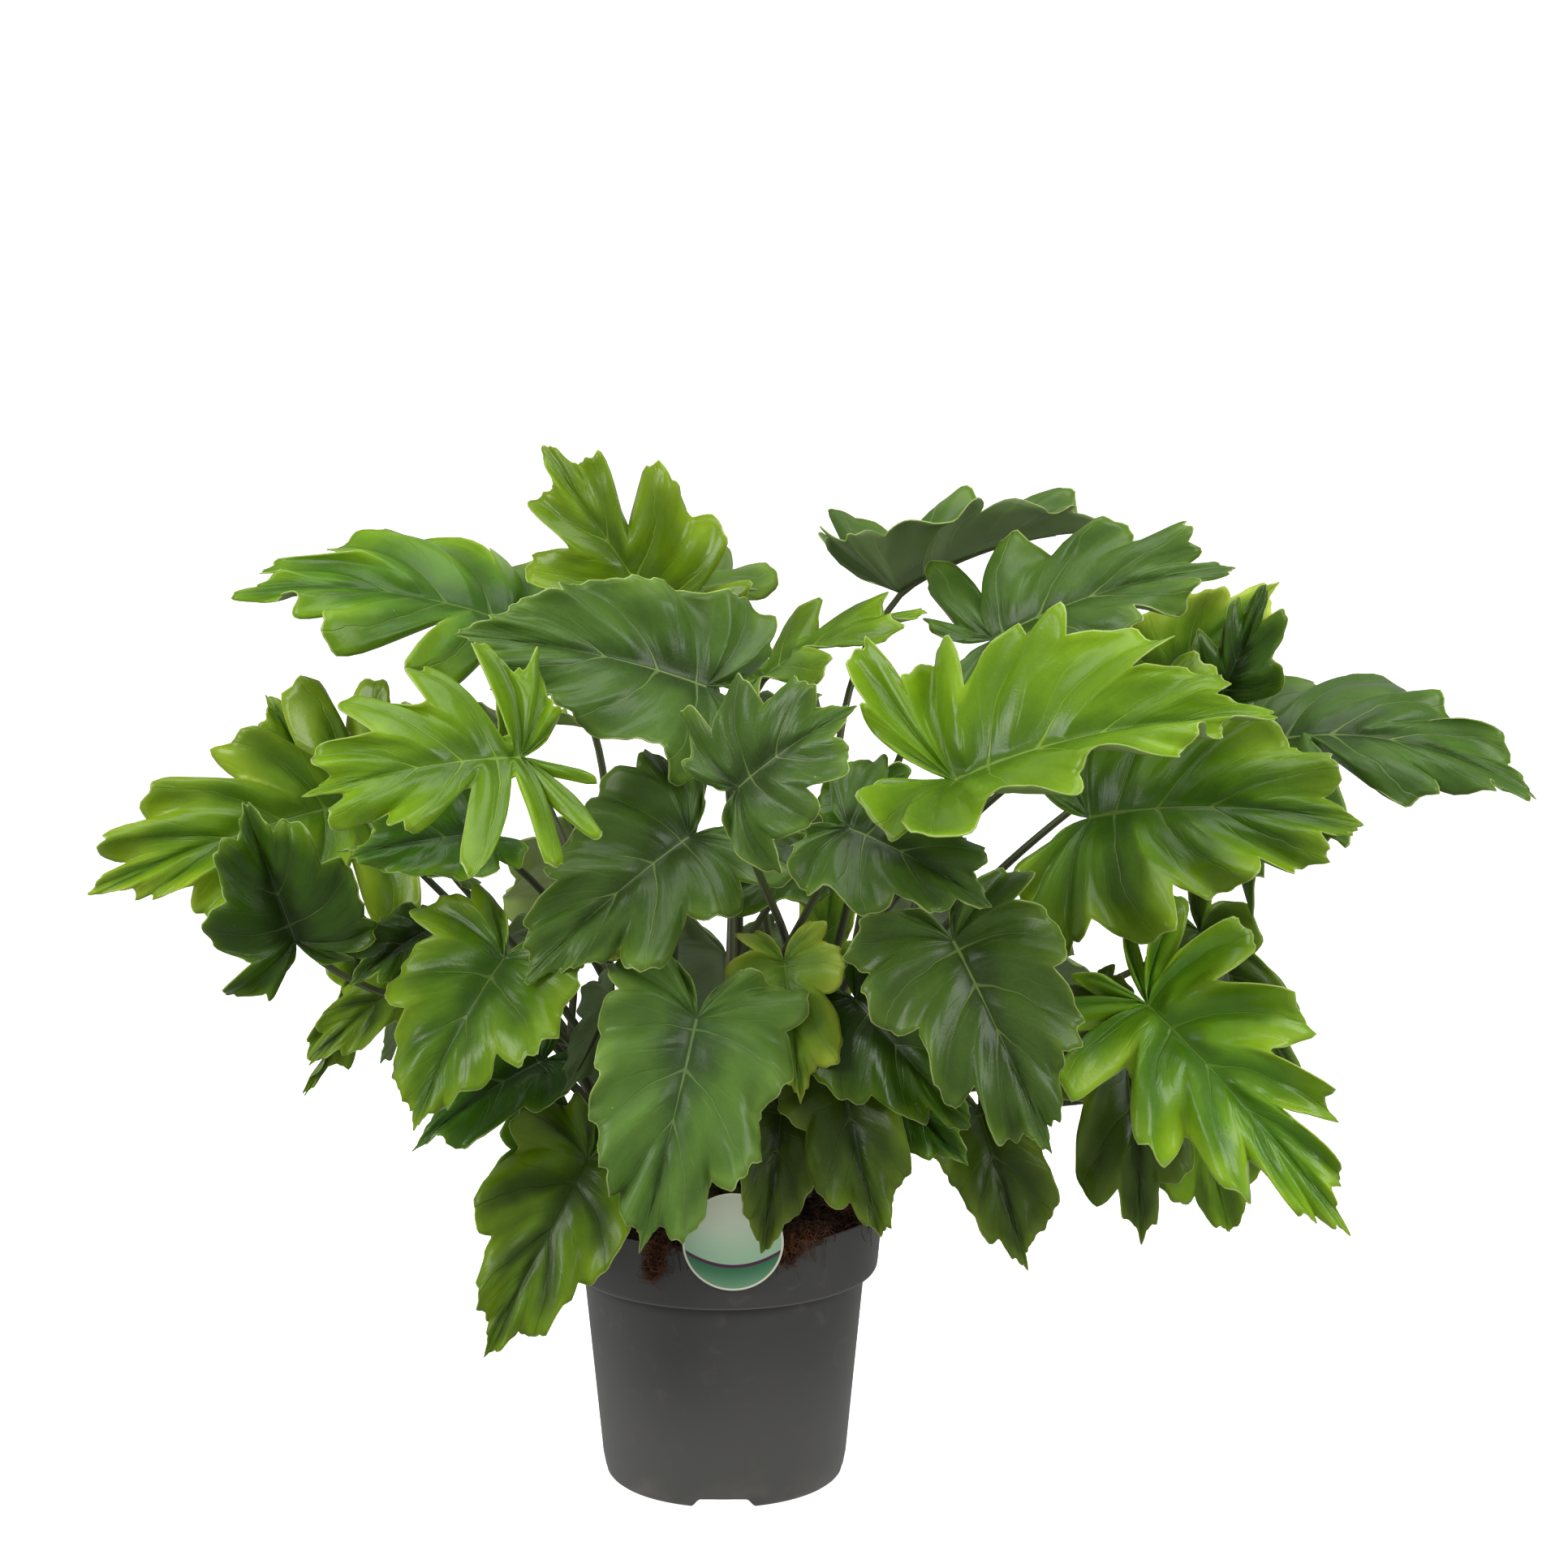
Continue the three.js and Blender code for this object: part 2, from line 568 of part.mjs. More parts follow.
// Petiole: rises from its stem, arches over and runs on under the midrib
function petiolePath(form, index, rank, blade) {
  const stem = STEMS[form.stem];
  const radians = THREE.MathUtils.degToRad;
  const fan = radians(form.swing + SEAT.spread * ((index % 3) - 1));
  const azimuth = Math.atan2(form.neck.y - stem.y, form.neck.x - stem.x) + fan;
  const height = THREE.MathUtils.lerp(SOIL.level + SEAT.lowest, stem.top - SEAT.belowTop, rank);
  const outward = new THREE.Vector3(Math.cos(azimuth), Math.sin(azimuth), 0);
  const rising = outward.clone().multiplyScalar(THREE.MathUtils.lerp(1.1, 0.3, rank)).setZ(1).normalize();
  const seat = stem.radius + CLEARANCE + PETIOLE.baseRadius * rising.z;
  const start = new THREE.Vector3(stem.x, stem.y, height).addScaledVector(outward, seat);
  const [neck, rib] = blade.rib.map((corner) => blade.points[corner]);
  const span = neck.distanceTo(start);
  const level = neck.clone().sub(start).setZ(0).normalize();
  const arriving = level.clone().multiplyScalar(form.lean).setZ(0.6).normalize();
  const path = new THREE.CubicBezierCurve3(
    start,
    start.clone().addScaledVector(rising, form.rise * span),
    neck.clone().addScaledVector(arriving, -0.35 * span),
    neck,
  );
  const steps = Math.max(4, Math.round(span / PETIOLE.stepLength));
  const points = [...path.getPoints(steps), rib.clone().lerp(neck, 0.35)];
  const tangents = points.map((point, step) => path.getTangent(Math.min(1, step / steps)));
  const along = rib.clone().sub(neck).normalize();
  tangents[steps].add(along).normalize();
  tangents[steps + 1] = along;
  return { points, tangents, inward: outward.negate() };
}

function tubeGeometry({ points, tangents, inward }, radii, sides, drop) {
  const positions = [];
  const indices = [];
  let across = inward;
  points.forEach((point, index) => {
    const tangent = tangents[index];
    across = across.clone().addScaledVector(tangent, -across.dot(tangent)).normalize();
    const other = tangent.clone().cross(across);
    for (let step = 0; step < sides; step += 1) {
      const angle = (2 * Math.PI * step) / sides;
      const corner = point.clone().addScaledVector(drop, index < points.length - 2 ? 0 : radii[index] * 0.9);
      corner.addScaledVector(across, radii[index] * Math.cos(angle));
      corner.addScaledVector(other, radii[index] * Math.sin(angle));
      positions.push(...corner.toArray());
    }
  });
  for (let index = 0; index < points.length - 1; index += 1) {
    for (let step = 0; step < sides; step += 1) {
      const here = index * sides + step;
      const beside = index * sides + ((step + 1) % sides);
      indices.push(here, beside, here + sides, beside, beside + sides, here + sides);
    }
  }
  const last = (points.length - 1) * sides;
  for (let step = 1; step < sides - 1; step += 1) {
    indices.push(0, step + 1, step, last, last + step, last + step + 1);
  }
  const geometry = new THREE.BufferGeometry();
  geometry.setAttribute('position', new THREE.Float32BufferAttribute(positions, 3));
  geometry.setIndex(indices);
  return geometry;
}

function leafSolid(form, index, rank) {
  const blade = bladeGeometry(form);
  const path = petiolePath(form, index, rank, blade);
  const last = path.points.length - 1;
  const radii = path.points.map((point, step) => {
    const part = step / (last - 1);
    return step === last
      ? PETIOLE.ribRadius
      : THREE.MathUtils.lerp(PETIOLE.baseRadius, PETIOLE.neckRadius, Math.sqrt(part));
  });
  const down = new THREE.Vector3(0, 0, -1).transformDirection(bladePlacement(form));
  const tube = tubeGeometry(path, radii, PETIOLE.sides, down);
  return toSolid(blade.geometry).add(toSolid(tube));
}

// Assembly
const FINISHES = {
  pot: new THREE.MeshStandardMaterial({ color: '#3f3e3d', roughness: 0.6 }),
  soil: new THREE.MeshStandardMaterial({ color: '#33211a', roughness: 1 }),
  label: new THREE.MeshStandardMaterial({ color: '#dfe8d3', roughness: 0.4 }),
  stem: new THREE.MeshStandardMaterial({ color: '#6d7040', roughness: 0.8 }),
  mid: new THREE.MeshStandardMaterial({ color: '#3f6b2c', roughness: 0.35 }),
  dark: new THREE.MeshStandardMaterial({ color: '#28461f', roughness: 0.3 }),
  bright: new THREE.MeshStandardMaterial({ color: '#67952f', roughness: 0.35 }),
  yellow: new THREE.MeshStandardMaterial({ color: '#93a645', roughness: 0.45 }),
};

const group = new THREE.Group();

function place(name, solid, finish) {
  const mesh = new THREE.Mesh(toGeometry(solid), FINISHES[finish]);
  mesh.name = name;
  group.add(mesh);
}

place('pot', potSolid(), 'pot');
place('soil', soilSolid(), 'soil');
place('plant_label', labelSolid(), 'label');
for (const [name, stem] of Object.entries(STEMS)) {
  place(`stem_${name}`, stemSolid(stem), 'stem');
}
for (const name of Object.keys(STEMS)) {
  const risingLeaves = LEAVES.filter((form) => form.stem === name);
  risingLeaves.forEach((form, index) => {
    const rank = (index + 0.5) / risingLeaves.length;
    place(`leaf_${form.name}`, leafSolid(form, index, rank), form.tone);
  });
}

export default group;
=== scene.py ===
"""Looks of the potted little hope philodendron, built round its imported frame.

The solid model's leaves, stems, soil, label and pot are replaced by finer pieces of the same form.
Sizes are in millimetres, as in the solid model, and become metres where a mesh is laid out.
"""

import functools
import logging
import math
from collections.abc import Callable
from dataclasses import dataclass, field
from enum import Enum

import bmesh
import bpy
from mathutils import Matrix, Vector, noise

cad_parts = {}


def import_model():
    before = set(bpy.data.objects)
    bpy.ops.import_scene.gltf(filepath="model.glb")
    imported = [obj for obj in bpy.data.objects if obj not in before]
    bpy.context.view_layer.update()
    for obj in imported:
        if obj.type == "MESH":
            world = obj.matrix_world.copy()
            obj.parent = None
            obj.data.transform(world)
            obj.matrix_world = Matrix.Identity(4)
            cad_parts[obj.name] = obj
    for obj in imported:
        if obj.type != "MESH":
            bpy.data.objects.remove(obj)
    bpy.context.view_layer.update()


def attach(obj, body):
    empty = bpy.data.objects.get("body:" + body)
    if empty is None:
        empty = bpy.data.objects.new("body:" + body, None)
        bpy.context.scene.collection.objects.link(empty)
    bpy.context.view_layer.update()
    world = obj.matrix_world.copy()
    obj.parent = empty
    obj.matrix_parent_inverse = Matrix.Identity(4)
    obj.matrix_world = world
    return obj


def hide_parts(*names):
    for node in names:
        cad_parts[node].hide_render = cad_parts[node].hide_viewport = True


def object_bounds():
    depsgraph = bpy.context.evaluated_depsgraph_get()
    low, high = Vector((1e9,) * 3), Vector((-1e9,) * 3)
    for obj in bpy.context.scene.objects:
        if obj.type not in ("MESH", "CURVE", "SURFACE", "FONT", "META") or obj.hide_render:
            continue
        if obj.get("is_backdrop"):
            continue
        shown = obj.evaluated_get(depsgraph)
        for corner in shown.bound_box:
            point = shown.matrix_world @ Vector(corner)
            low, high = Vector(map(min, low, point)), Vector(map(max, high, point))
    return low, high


MM = 0.001
BODY = "root"
MAP = "lay"
log = logging.getLogger("philodendron")

Point = tuple[float, float, float]
Socket = bpy.types.NodeSocket
Piece = bpy.types.Object
Material = bpy.types.Material


def smooth(low: float, high: float, value: float) -> float:
    """Eases from 0 at low to 1 at high.

    Args:
        low: Where the ease starts.
        high: Where it ends, on either side of low.
        value: The place to read.

    Returns:
        A number from 0 to 1.
    """
    part = min(1.0, max(0.0, (value - low) / (high - low)))
    return part * part * (3 - 2 * part)


def lerp(first: float, last: float, part: float) -> float:
    """Goes from first to last by part."""
    return first + (last - first) * part


def polar(angle: float, radius: float = 1.0) -> tuple[float, float]:
    """Gives x and y of the place at an angle and a radius."""
    return radius * math.cos(angle), radius * math.sin(angle)


def direction(path: list[Vector], index: int) -> Vector:
    """Gives the way that a path takes past one of its points."""
    return (path[min(index + 1, len(path) - 1)] - path[max(index - 1, 0)]).normalized()


class SeededDraw:
    """Numbers from -1 to 1 that are the same on every run for the same name."""

    MODULUS = 2147483647
    MULTIPLIER = 48271

    def __init__(self, text: str) -> None:
        """Starts the draw from a name."""
        self.state = 7
        for letter in text:
            self.state = (self.state * 31 + ord(letter)) % self.MODULUS

    def next(self) -> float:
        """Gives the next number from -1 to 1."""
        self.state = (self.state * self.MULTIPLIER) % self.MODULUS
        return self.state / self.MODULUS * 2 - 1

    def between(self, low: float, high: float) -> float:
        """Gives the next number, spread from low to high."""
        return lerp(low, high, (self.next() + 1) / 2)


class Workbench:
    """Mesh steps that several pieces share."""

    MERGE = 2e-5
    DEGENERATE = 1e-6

    @staticmethod
    def clear() -> None:
        """Goes to object mode and deselects everything."""
        if bpy.context.object and bpy.context.object.mode != "OBJECT":
            bpy.ops.object.mode_set(mode="OBJECT")
        bpy.ops.object.select_all(action="DESELECT")

    @classmethod
    def edit(cls, piece: Piece) -> None:
        """Opens one piece in edit mode with all of it selected."""
        cls.clear()
        bpy.context.view_layer.objects.active = piece
        piece.select_set(True)
        bpy.ops.object.mode_set(mode="EDIT")
        bpy.ops.mesh.select_all(action="SELECT")

    @classmethod
    def sheet(
        cls, name: str, columns: int, rows: int, lay: Callable[[float, float], Vector], closed: bool = False
    ) -> Piece:
        """Adds a grid and lays each of its points where the piece has it.

        Args:
            name: The piece's name.
            columns: Faces across, along u.
            rows: Faces along v.
            lay: Gives a point in millimetres for u and v, each from 0 to 1.
            closed: Whether the sheet meets itself, as a tube does, and has its ends capped.

        Returns:
            The piece, with u and v in its UV map.
        """
        cls.clear()
        bpy.ops.mesh.primitive_grid_add(x_subdivisions=columns, y_subdivisions=rows, size=2, calc_uvs=True)
        piece = bpy.context.object
        piece.name = piece.data.name = name
        piece.data.uv_layers[0].name = MAP
        for vertex in piece.data.vertices:
            vertex.co = lay((vertex.co.x + 1) / 2, (vertex.co.y + 1) / 2) * MM
        cls.edit(piece)
        bpy.ops.mesh.remove_doubles(threshold=cls.MERGE)
        bpy.ops.mesh.dissolve_degenerate(threshold=cls.DEGENERATE)
        if closed:
            bpy.ops.mesh.select_all(action="SELECT")
            bpy.ops.mesh.fill_holes(sides=0)
            bpy.ops.mesh.select_all(action="SELECT")
            bpy.ops.mesh.normals_make_consistent(inside=False)
        bpy.ops.object.mode_set(mode="OBJECT")
        bpy.ops.object.shade_smooth()
        return piece

    @classmethod
    def tube(cls, name: str, path: list[Vector], radii: list[float], across: Vector, sides: int) -> Piece:
        """Runs a round section along a path.

        Args:
            name: The piece's name.
            path: The points of its middle, in millimetres.
            radii: The radius at each point.
            across: A direction across the first section.
            sides: Faces round the section.

        Returns:
            The closed tube.
        """
        frames = []
        for index in range(len(path)):
            tangent = direction(path, index)
            across = (across - tangent * across.dot(tangent)).normalized()
            frames.append((across.copy(), tangent.cross(across)))
        last = len(path) - 1

        def lay(u: float, v: float) -> Vector:
            ring = round(v * last)
            side, other = frames[ring]
            along_side, along_other = polar(2 * math.pi * u)
            return path[ring] + radii[ring] * (side * along_side + other * along_other)

        return cls.sheet(name, sides, last, lay, closed=True)

    @staticmethod
    def gather(name: str, made: bmesh.types.BMesh) -> Piece:
        """Turns a bmesh into a piece with smooth faces that point outwards."""
        bmesh.ops.recalc_face_normals(made, faces=made.faces)
        mesh = bpy.data.meshes.new(name)
        made.to_mesh(mesh)
        made.free()
        mesh.uv_layers.new(name=MAP)
        piece = bpy.data.objects.new(name, mesh)
        bpy.context.scene.collection.objects.link(piece)
        mesh.shade_smooth()
        return piece

    @classmethod
    def modify(cls, piece: Piece, kind: str, **settings: object) -> None:
        """Adds a modifier with its settings and applies it."""
        cls.clear()
        bpy.context.view_layer.objects.active = piece
        piece.select_set(True)
        modifier = piece.modifiers.new(kind.title(), kind)
        for setting, value in settings.items():
            setattr(modifier, setting, value)
        bpy.ops.object.modifier_apply(modifier=modifier.name)

    @classmethod
    def join(cls, main: Piece, others: list[Piece]) -> Piece:
        """Joins other meshes into the main one and keeps its name."""
        cls.clear()
        for other in others:
            other.select_set(True)
        main.select_set(True)
        bpy.context.view_layer.objects.active = main
        bpy.ops.object.join()
        return main

    @staticmethod
    def number(piece: Piece, name: str, value: float) -> None:
        """Gives every point of a piece the same number, for its finish to read."""
        points = piece.data.attributes.new(name, "FLOAT", "POINT")
        points.data.foreach_set("value", [value] * len(piece.data.vertices))

    @staticmethod
    def hand_over(piece: Piece, slot: str, *nodes: str) -> None:
        """Attaches a finished piece to its body and hides the nodes that it stands for; its slot is not
        used.
        """
        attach(piece, BODY)
        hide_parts(*nodes)
        log.info("%s: %d faces", piece.name, len(piece.data.polygons))


def srgb(code: str) -> tuple[float, float, float, float]:
    """Turns a six-digit colour code into linear light.

    Args:
        code: The colour as #rrggbb.

    Returns:
        Red, green, blue and an alpha of 1.
    """
    parts = [int(code[start : start + 2], 16) / 255 for start in (1, 3, 5)]
    linear = [part / 12.92 if part <= 0.04045 else ((part + 0.055) / 1.055) ** 2.4 for part in parts]
    return (*linear, 1.0)


class Value:
    """A number that a finish works out at every point, so that sums on it read as sums."""

    def __init__(self, recipe: "Recipe", socket: Socket) -> None:
        """Holds the socket that gives the number."""
        self.recipe = recipe
        self.socket = socket

    def sum(self, operation: str, *others: "Value | float") -> "Value":
        """Gives the result of one sum on this number and others."""
        return self.recipe.calc(operation, self, *others)

    def __add__(self, other: "Value | float") -> "Value":
        """Adds another number."""
        return self.sum("ADD", other)

    def __sub__(self, other: "Value | float") -> "Value":
        """Takes another number away."""
        return self.sum("SUBTRACT", other)

    def __mul__(self, other: "Value | float") -> "Value":
        """Multiplies by another number."""
        return self.sum("MULTIPLY", other)

    def __rsub__(self, other: float) -> "Value":
        """Takes this number away from a plain one."""
        return self.recipe.calc("SUBTRACT", other, self)

    def __rtruediv__(self, other: float) -> "Value":
        """Divides a plain number by this one."""
        return self.recipe.calc("DIVIDE", other, self)

    def __abs__(self) -> "Value":
        """Gives the number without its sign."""
        return self.sum("ABSOLUTE")

    def fraction(self) -> "Value":
        """Gives what lies past the whole number below."""
        return self.sum("FRACT")

    def most(self, other: "Value") -> "Value":
        """Gives the greater of two numbers."""
        return self.sum("MAXIMUM", other)

    def above(self, level: float) -> "Value":
        """Gives 1 where the number is above a level, and 0 elsewhere."""
        return self.sum("GREATER_THAN", level)

    def ease(self, low: "float | Value", high: "float | Value", top: float = 1.0) -> "Value":
        """Gives 0 where the number is at low, rising smoothly to top where it is at high."""
        inputs = {"Value": self, "From Min": low, "From Max": high, "To Max": top}
        node = self.recipe.node("ShaderNodeMapRange", inputs, interpolation_type="SMOOTHSTEP")
        return Value(self.recipe, node.outputs[0])


class Recipe:
    """One procedural finish: a principled surface and the nodes that feed it."""

    def __init__(self, name: str, roughness: float, shine: float = 0.5) -> None:
        """Starts a finish with its constant settings.

        Args:
            name: The material's name.
            roughness: The surface's roughness where nothing else feeds it.
            shine: The strength of its reflection.
        """
        self.material = bpy.data.materials.new(name)
        self.material.use_nodes = True
        self.tree = self.material.node_tree
        self.surface = self.tree.nodes["Principled BSDF"]
        self.surface.inputs["Roughness"].default_value = roughness
        self.surface.inputs["Specular IOR Level"].default_value = shine

    def feed(self, socket: Socket, value: Value | Socket | float | tuple) -> None:
        """Links a socket to another, or sets its own value."""
        if isinstance(value, Value):
            value = value.socket
        if isinstance(value, bpy.types.NodeSocket):
            self.tree.links.new(value, socket)
        else:
            socket.default_value = value

    def node(self, kind: str, inputs: dict[int | str, object], **settings: object) -> bpy.types.Node:
        """Adds a node with its settings and inputs."""
        made = self.tree.nodes.new(kind)
        for setting, value in settings.items():
            setattr(made, setting, value)
        for name, value in inputs.items():
            self.feed(made.inputs[name], value)
        return made

    def calc(self, operation: str, *values: Value | float) -> Value:
        """Gives the result of one sum on up to three numbers."""
        node = self.node("ShaderNodeMath", dict(enumerate(values)), operation=operation)
        return Value(self, node.outputs[0])

    def place(self) -> Socket:
        """Gives the object coordinates."""
        return self.node("ShaderNodeTexCoord", {}).outputs["Object"]

    def parts(self, vector: Socket) -> list[Value]:
        """Gives the three numbers of a vector."""
        split = self.node("ShaderNodeSeparateXYZ", {0: vector})
        return [Value(self, output) for output in split.outputs]

    def together(self, *numbers: Value | float) -> Socket:
        """Gives the vector of up to three numbers."""
        return self.node("ShaderNodeCombineXYZ", dict(enumerate(numbers))).outputs[0]

    def lay(self) -> tuple[Value, Value]:
        """Gives u and v of the piece's own map."""
        u, v, _ = self.parts(self.node("ShaderNodeUVMap", {}, uv_map=MAP).outputs[0])
        return u, v

    def number(self, name: str) -> Value:
        """Gives the number that a piece's points carry under a name."""
        node = self.node("ShaderNodeAttribute", {}, attribute_name=name)
        return Value(self, node.outputs["Fac"])

    def speckle(self, scale: float, detail: float, where: Socket | None = None, **inputs: float) -> Value:
        """Gives a noise of that many waves a metre, on the piece's place or on another vector."""
        given = {"Vector": where or self.place(), "Scale": scale, "Detail": detail, **inputs}
        return Value(self, self.node("ShaderNodeTexNoise", given).outputs["Fac"])

    def cells(self, scale: float, feature: str = "F1") -> Value:
        """Gives the distance to the nearest of many scattered points, or to the edge of its cell."""
        given = {"Vector": self.place(), "Scale": scale}
        node = self.node("ShaderNodeTexVoronoi", given, feature=feature)
        return Value(self, node.outputs["Distance"])

    def blend(self, share: Value, first: Socket | str, second: Socket | str) -> Socket:
        """Gives the first colour where share is 0 and the second where it is 1."""
        first, second = (srgb(one) if isinstance(one, str) else one for one in (first, second))
        inputs = {0: share, 6: first, 7: second}
        return self.node("ShaderNodeMix", inputs, data_type="RGBA").outputs[2]

    def emboss(self, height: Value, depth: float, under: Socket | None = None) -> Socket:
        """Gives the normal of a relief.

        Args:
            height: The relief, where 1 is its full height.
            depth: The full height in millimetres.
            under: The normal of a relief below it.

        Returns:
            The normal.
        """
        inputs = {"Height": height, "Distance": depth * MM}
        if under:
            inputs["Normal"] = under
        return self.node("ShaderNodeBump", inputs).outputs[0]

    def finish(
        self, colour: Socket | tuple, rough: Value | None = None, normal: Socket | None = None
    ) -> Material:
        """Feeds the surface and gives the material."""
        self.feed(self.surface.inputs["Base Color"], colour)
        if rough:
            self.feed(self.surface.inputs["Roughness"], rough)
        if normal:
            self.feed(self.surface.inputs["Normal"], normal)
        return self.material


@dataclass(frozen=True)
class LeafFinish:
    """The colours of one kind of blade.

    deep is along the midrib, lamina between the veins and margin towards the edge, from margin_from
    outwards. streaks is how far the deep colour follows the veins, and rib how strongly the pale veins
    show.
    """

    name: str
    deep: str
    lamina: str
    margin: str
    vein: str
    under: str
    margin_from: float
    streaks: float
    rib: float
    roughness: float

    RIM = "#a9bb68"
    RIM_FROM = 0.986
    DUST = "#c3c9b0"
    SPECKS = 55.0
    SPECK = 0.026
    SHINE = 0.25
    VEIN_AT = 0.62
    VEIN_WIDTH = 0.018
    RIB_WIDTH = 0.026
    NET_SCALE = 170.0
    PLEATS = 5.0
    PLEAT_DEPTH = 1.0
    QUILT_DEPTH = 0.35
    GRAIN_DEPTH = 0.08

    def veins(self, recipe: Recipe) -> dict[str, Value]:
        """Works out where the veins run, from the blade's own map.

        Args:
            recipe: The finish that is being made.

        Returns:
            out, the part of the way from midrib to edge; off, how far a place is from its main vein;
            the strength of the rib and of the main, side and net veins; and the pleats between them.
        """
        u, v = recipe.lay()
        out = abs(u * 2.0 - 1.0)
        waver = recipe.speckle(38, 2) * 0.2 - 0.1
        lobe = v * recipe.number("lobes") + waver
        part = lobe.fraction()
        past = (part - self.VEIN_AT) * (1 / (1 - self.VEIN_AT))
        before = (self.VEIN_AT - part) * (1 / self.VEIN_AT)
        off = past.most(before)
        width = self.VEIN_WIDTH / (out + 0.1)
        branch = (lobe * 3.0 + out * 0.9).fraction()
        side = abs(branch - 0.5).ease(0.08, 0.02) * out.ease(0.1, 0.3)
        rib_width = self.RIB_WIDTH - v * 0.014
        pleated = recipe.together(lobe * self.PLEATS, u * 3.0, recipe.number("shade"))
        return {
            "out": out,
            "off": off,
            "rib": out.ease(rib_width, rib_width * 0.4),
            "main": off.ease(width, width * 0.3),
            "side": side * recipe.speckle(30, 2).ease(0.4, 0.62),
            "net": recipe.cells(self.NET_SCALE, "DISTANCE_TO_EDGE").ease(0.09, 0.0),
            "pleat": recipe.speckle(1, 2, pleated),
        }

    def upper(self) -> Material:
        """Makes the finish of the upper side."""
        recipe = Recipe(f"{self.name}_upper", self.roughness, self.SHINE)
        veins = self.veins(recipe)
        cloud = recipe.speckle(22, 3)
        colour = self.lamina_colour(recipe, veins, cloud)
        pale = (veins["main"] * 0.75).most(veins["rib"])
        pale = pale.most(veins["side"] * 0.14).most(veins["net"] * 0.07)
        colour = recipe.blend(pale * self.rib, colour, self.vein)
        colour = recipe.blend(veins["out"].ease(self.RIM_FROM, 0.995, 0.75), colour, self.RIM)
        speck = recipe.cells(self.SPECKS).ease(self.SPECK, 0.5 * self.SPECK, 0.7)
        colour = recipe.blend(speck * recipe.speckle(14, 1).above(0.57), colour, self.DUST)
        shade = recipe.number("shade")
        bright = recipe.speckle(170, 4) * 0.16 + veins["pleat"] * 0.22 + cloud * 0.32 + shade * 0.1 + 0.66
        given = {"Hue": shade * 0.008 + 0.5, "Value": bright, "Color": colour}
        tint = recipe.node("ShaderNodeHueSaturation", given).outputs[0]
        groove = veins["main"].most(veins["side"] * 0.4).most(veins["net"] * 0.05).most(veins["rib"])
        normal = recipe.emboss(1.0 - groove, self.QUILT_DEPTH)
        normal = recipe.emboss(veins["pleat"] * veins["out"].ease(0.02, 0.3), self.PLEAT_DEPTH, normal)
        normal = recipe.emboss(recipe.speckle(500, 2), self.GRAIN_DEPTH, normal)
        rough = recipe.speckle(90, 2) * 0.16 + (self.roughness - 0.08)
        return recipe.finish(tint, rough, normal)

    def lamina_colour(self, recipe: Recipe, veins: dict[str, Value], cloud: Value) -> Socket:
        """Blends the deep, the plain and the margin's colour, with soft clouded borders.

        Args:
            recipe: The finish that is being made.
            veins: Where the veins run.
            cloud: The noise that shifts the borders.

        Returns:
            The colour between the veins.
        """
        near_edge = veins["out"] + cloud * 0.7 - 0.35
        along_vein = veins["off"].ease(0.7, 0.05) * self.streaks
        deep = (along_vein * near_edge.ease(1.15, 0.5)).most(near_edge.ease(0.5, 0.0))
        colour = recipe.blend(deep, self.lamina, self.deep)
        edge = near_edge.ease(self.margin_from, 1.1) * (1.0 - along_vein * 0.7)
        return recipe.blend(edge, colour, self.margin)

    def underside(self) -> Material:
        """Makes the paler, duller finish of the underside."""
        recipe = Recipe(f"{self.name}_under", 0.5)
        veins = self.veins(recipe)
        raised = veins["rib"].most(veins["main"]).most(veins["side"] * 0.4)
        colour = recipe.blend(recipe.speckle(60, 3) * 0.5, self.under, self.lamina)
        colour = recipe.blend(raised * 0.6, colour, self.vein)
        return recipe.finish(colour, None, recipe.emboss(raised, self.QUILT_DEPTH))

    def rim(self) -> Material:
        """Makes the pale finish of the thin edge."""
        recipe = Recipe(f"{self.name}_rim", 0.4)
        return recipe.finish(recipe.blend(recipe.speckle(80, 2), self.margin, self.RIM))


class Tone(Enum):
    """The material slots that the solid model's leaves have."""

    DARK = "leaf_dark"
    MID = "leaf_mid"
    BRIGHT = "leaf_bright"
    YELLOW = "leaf_yellow"


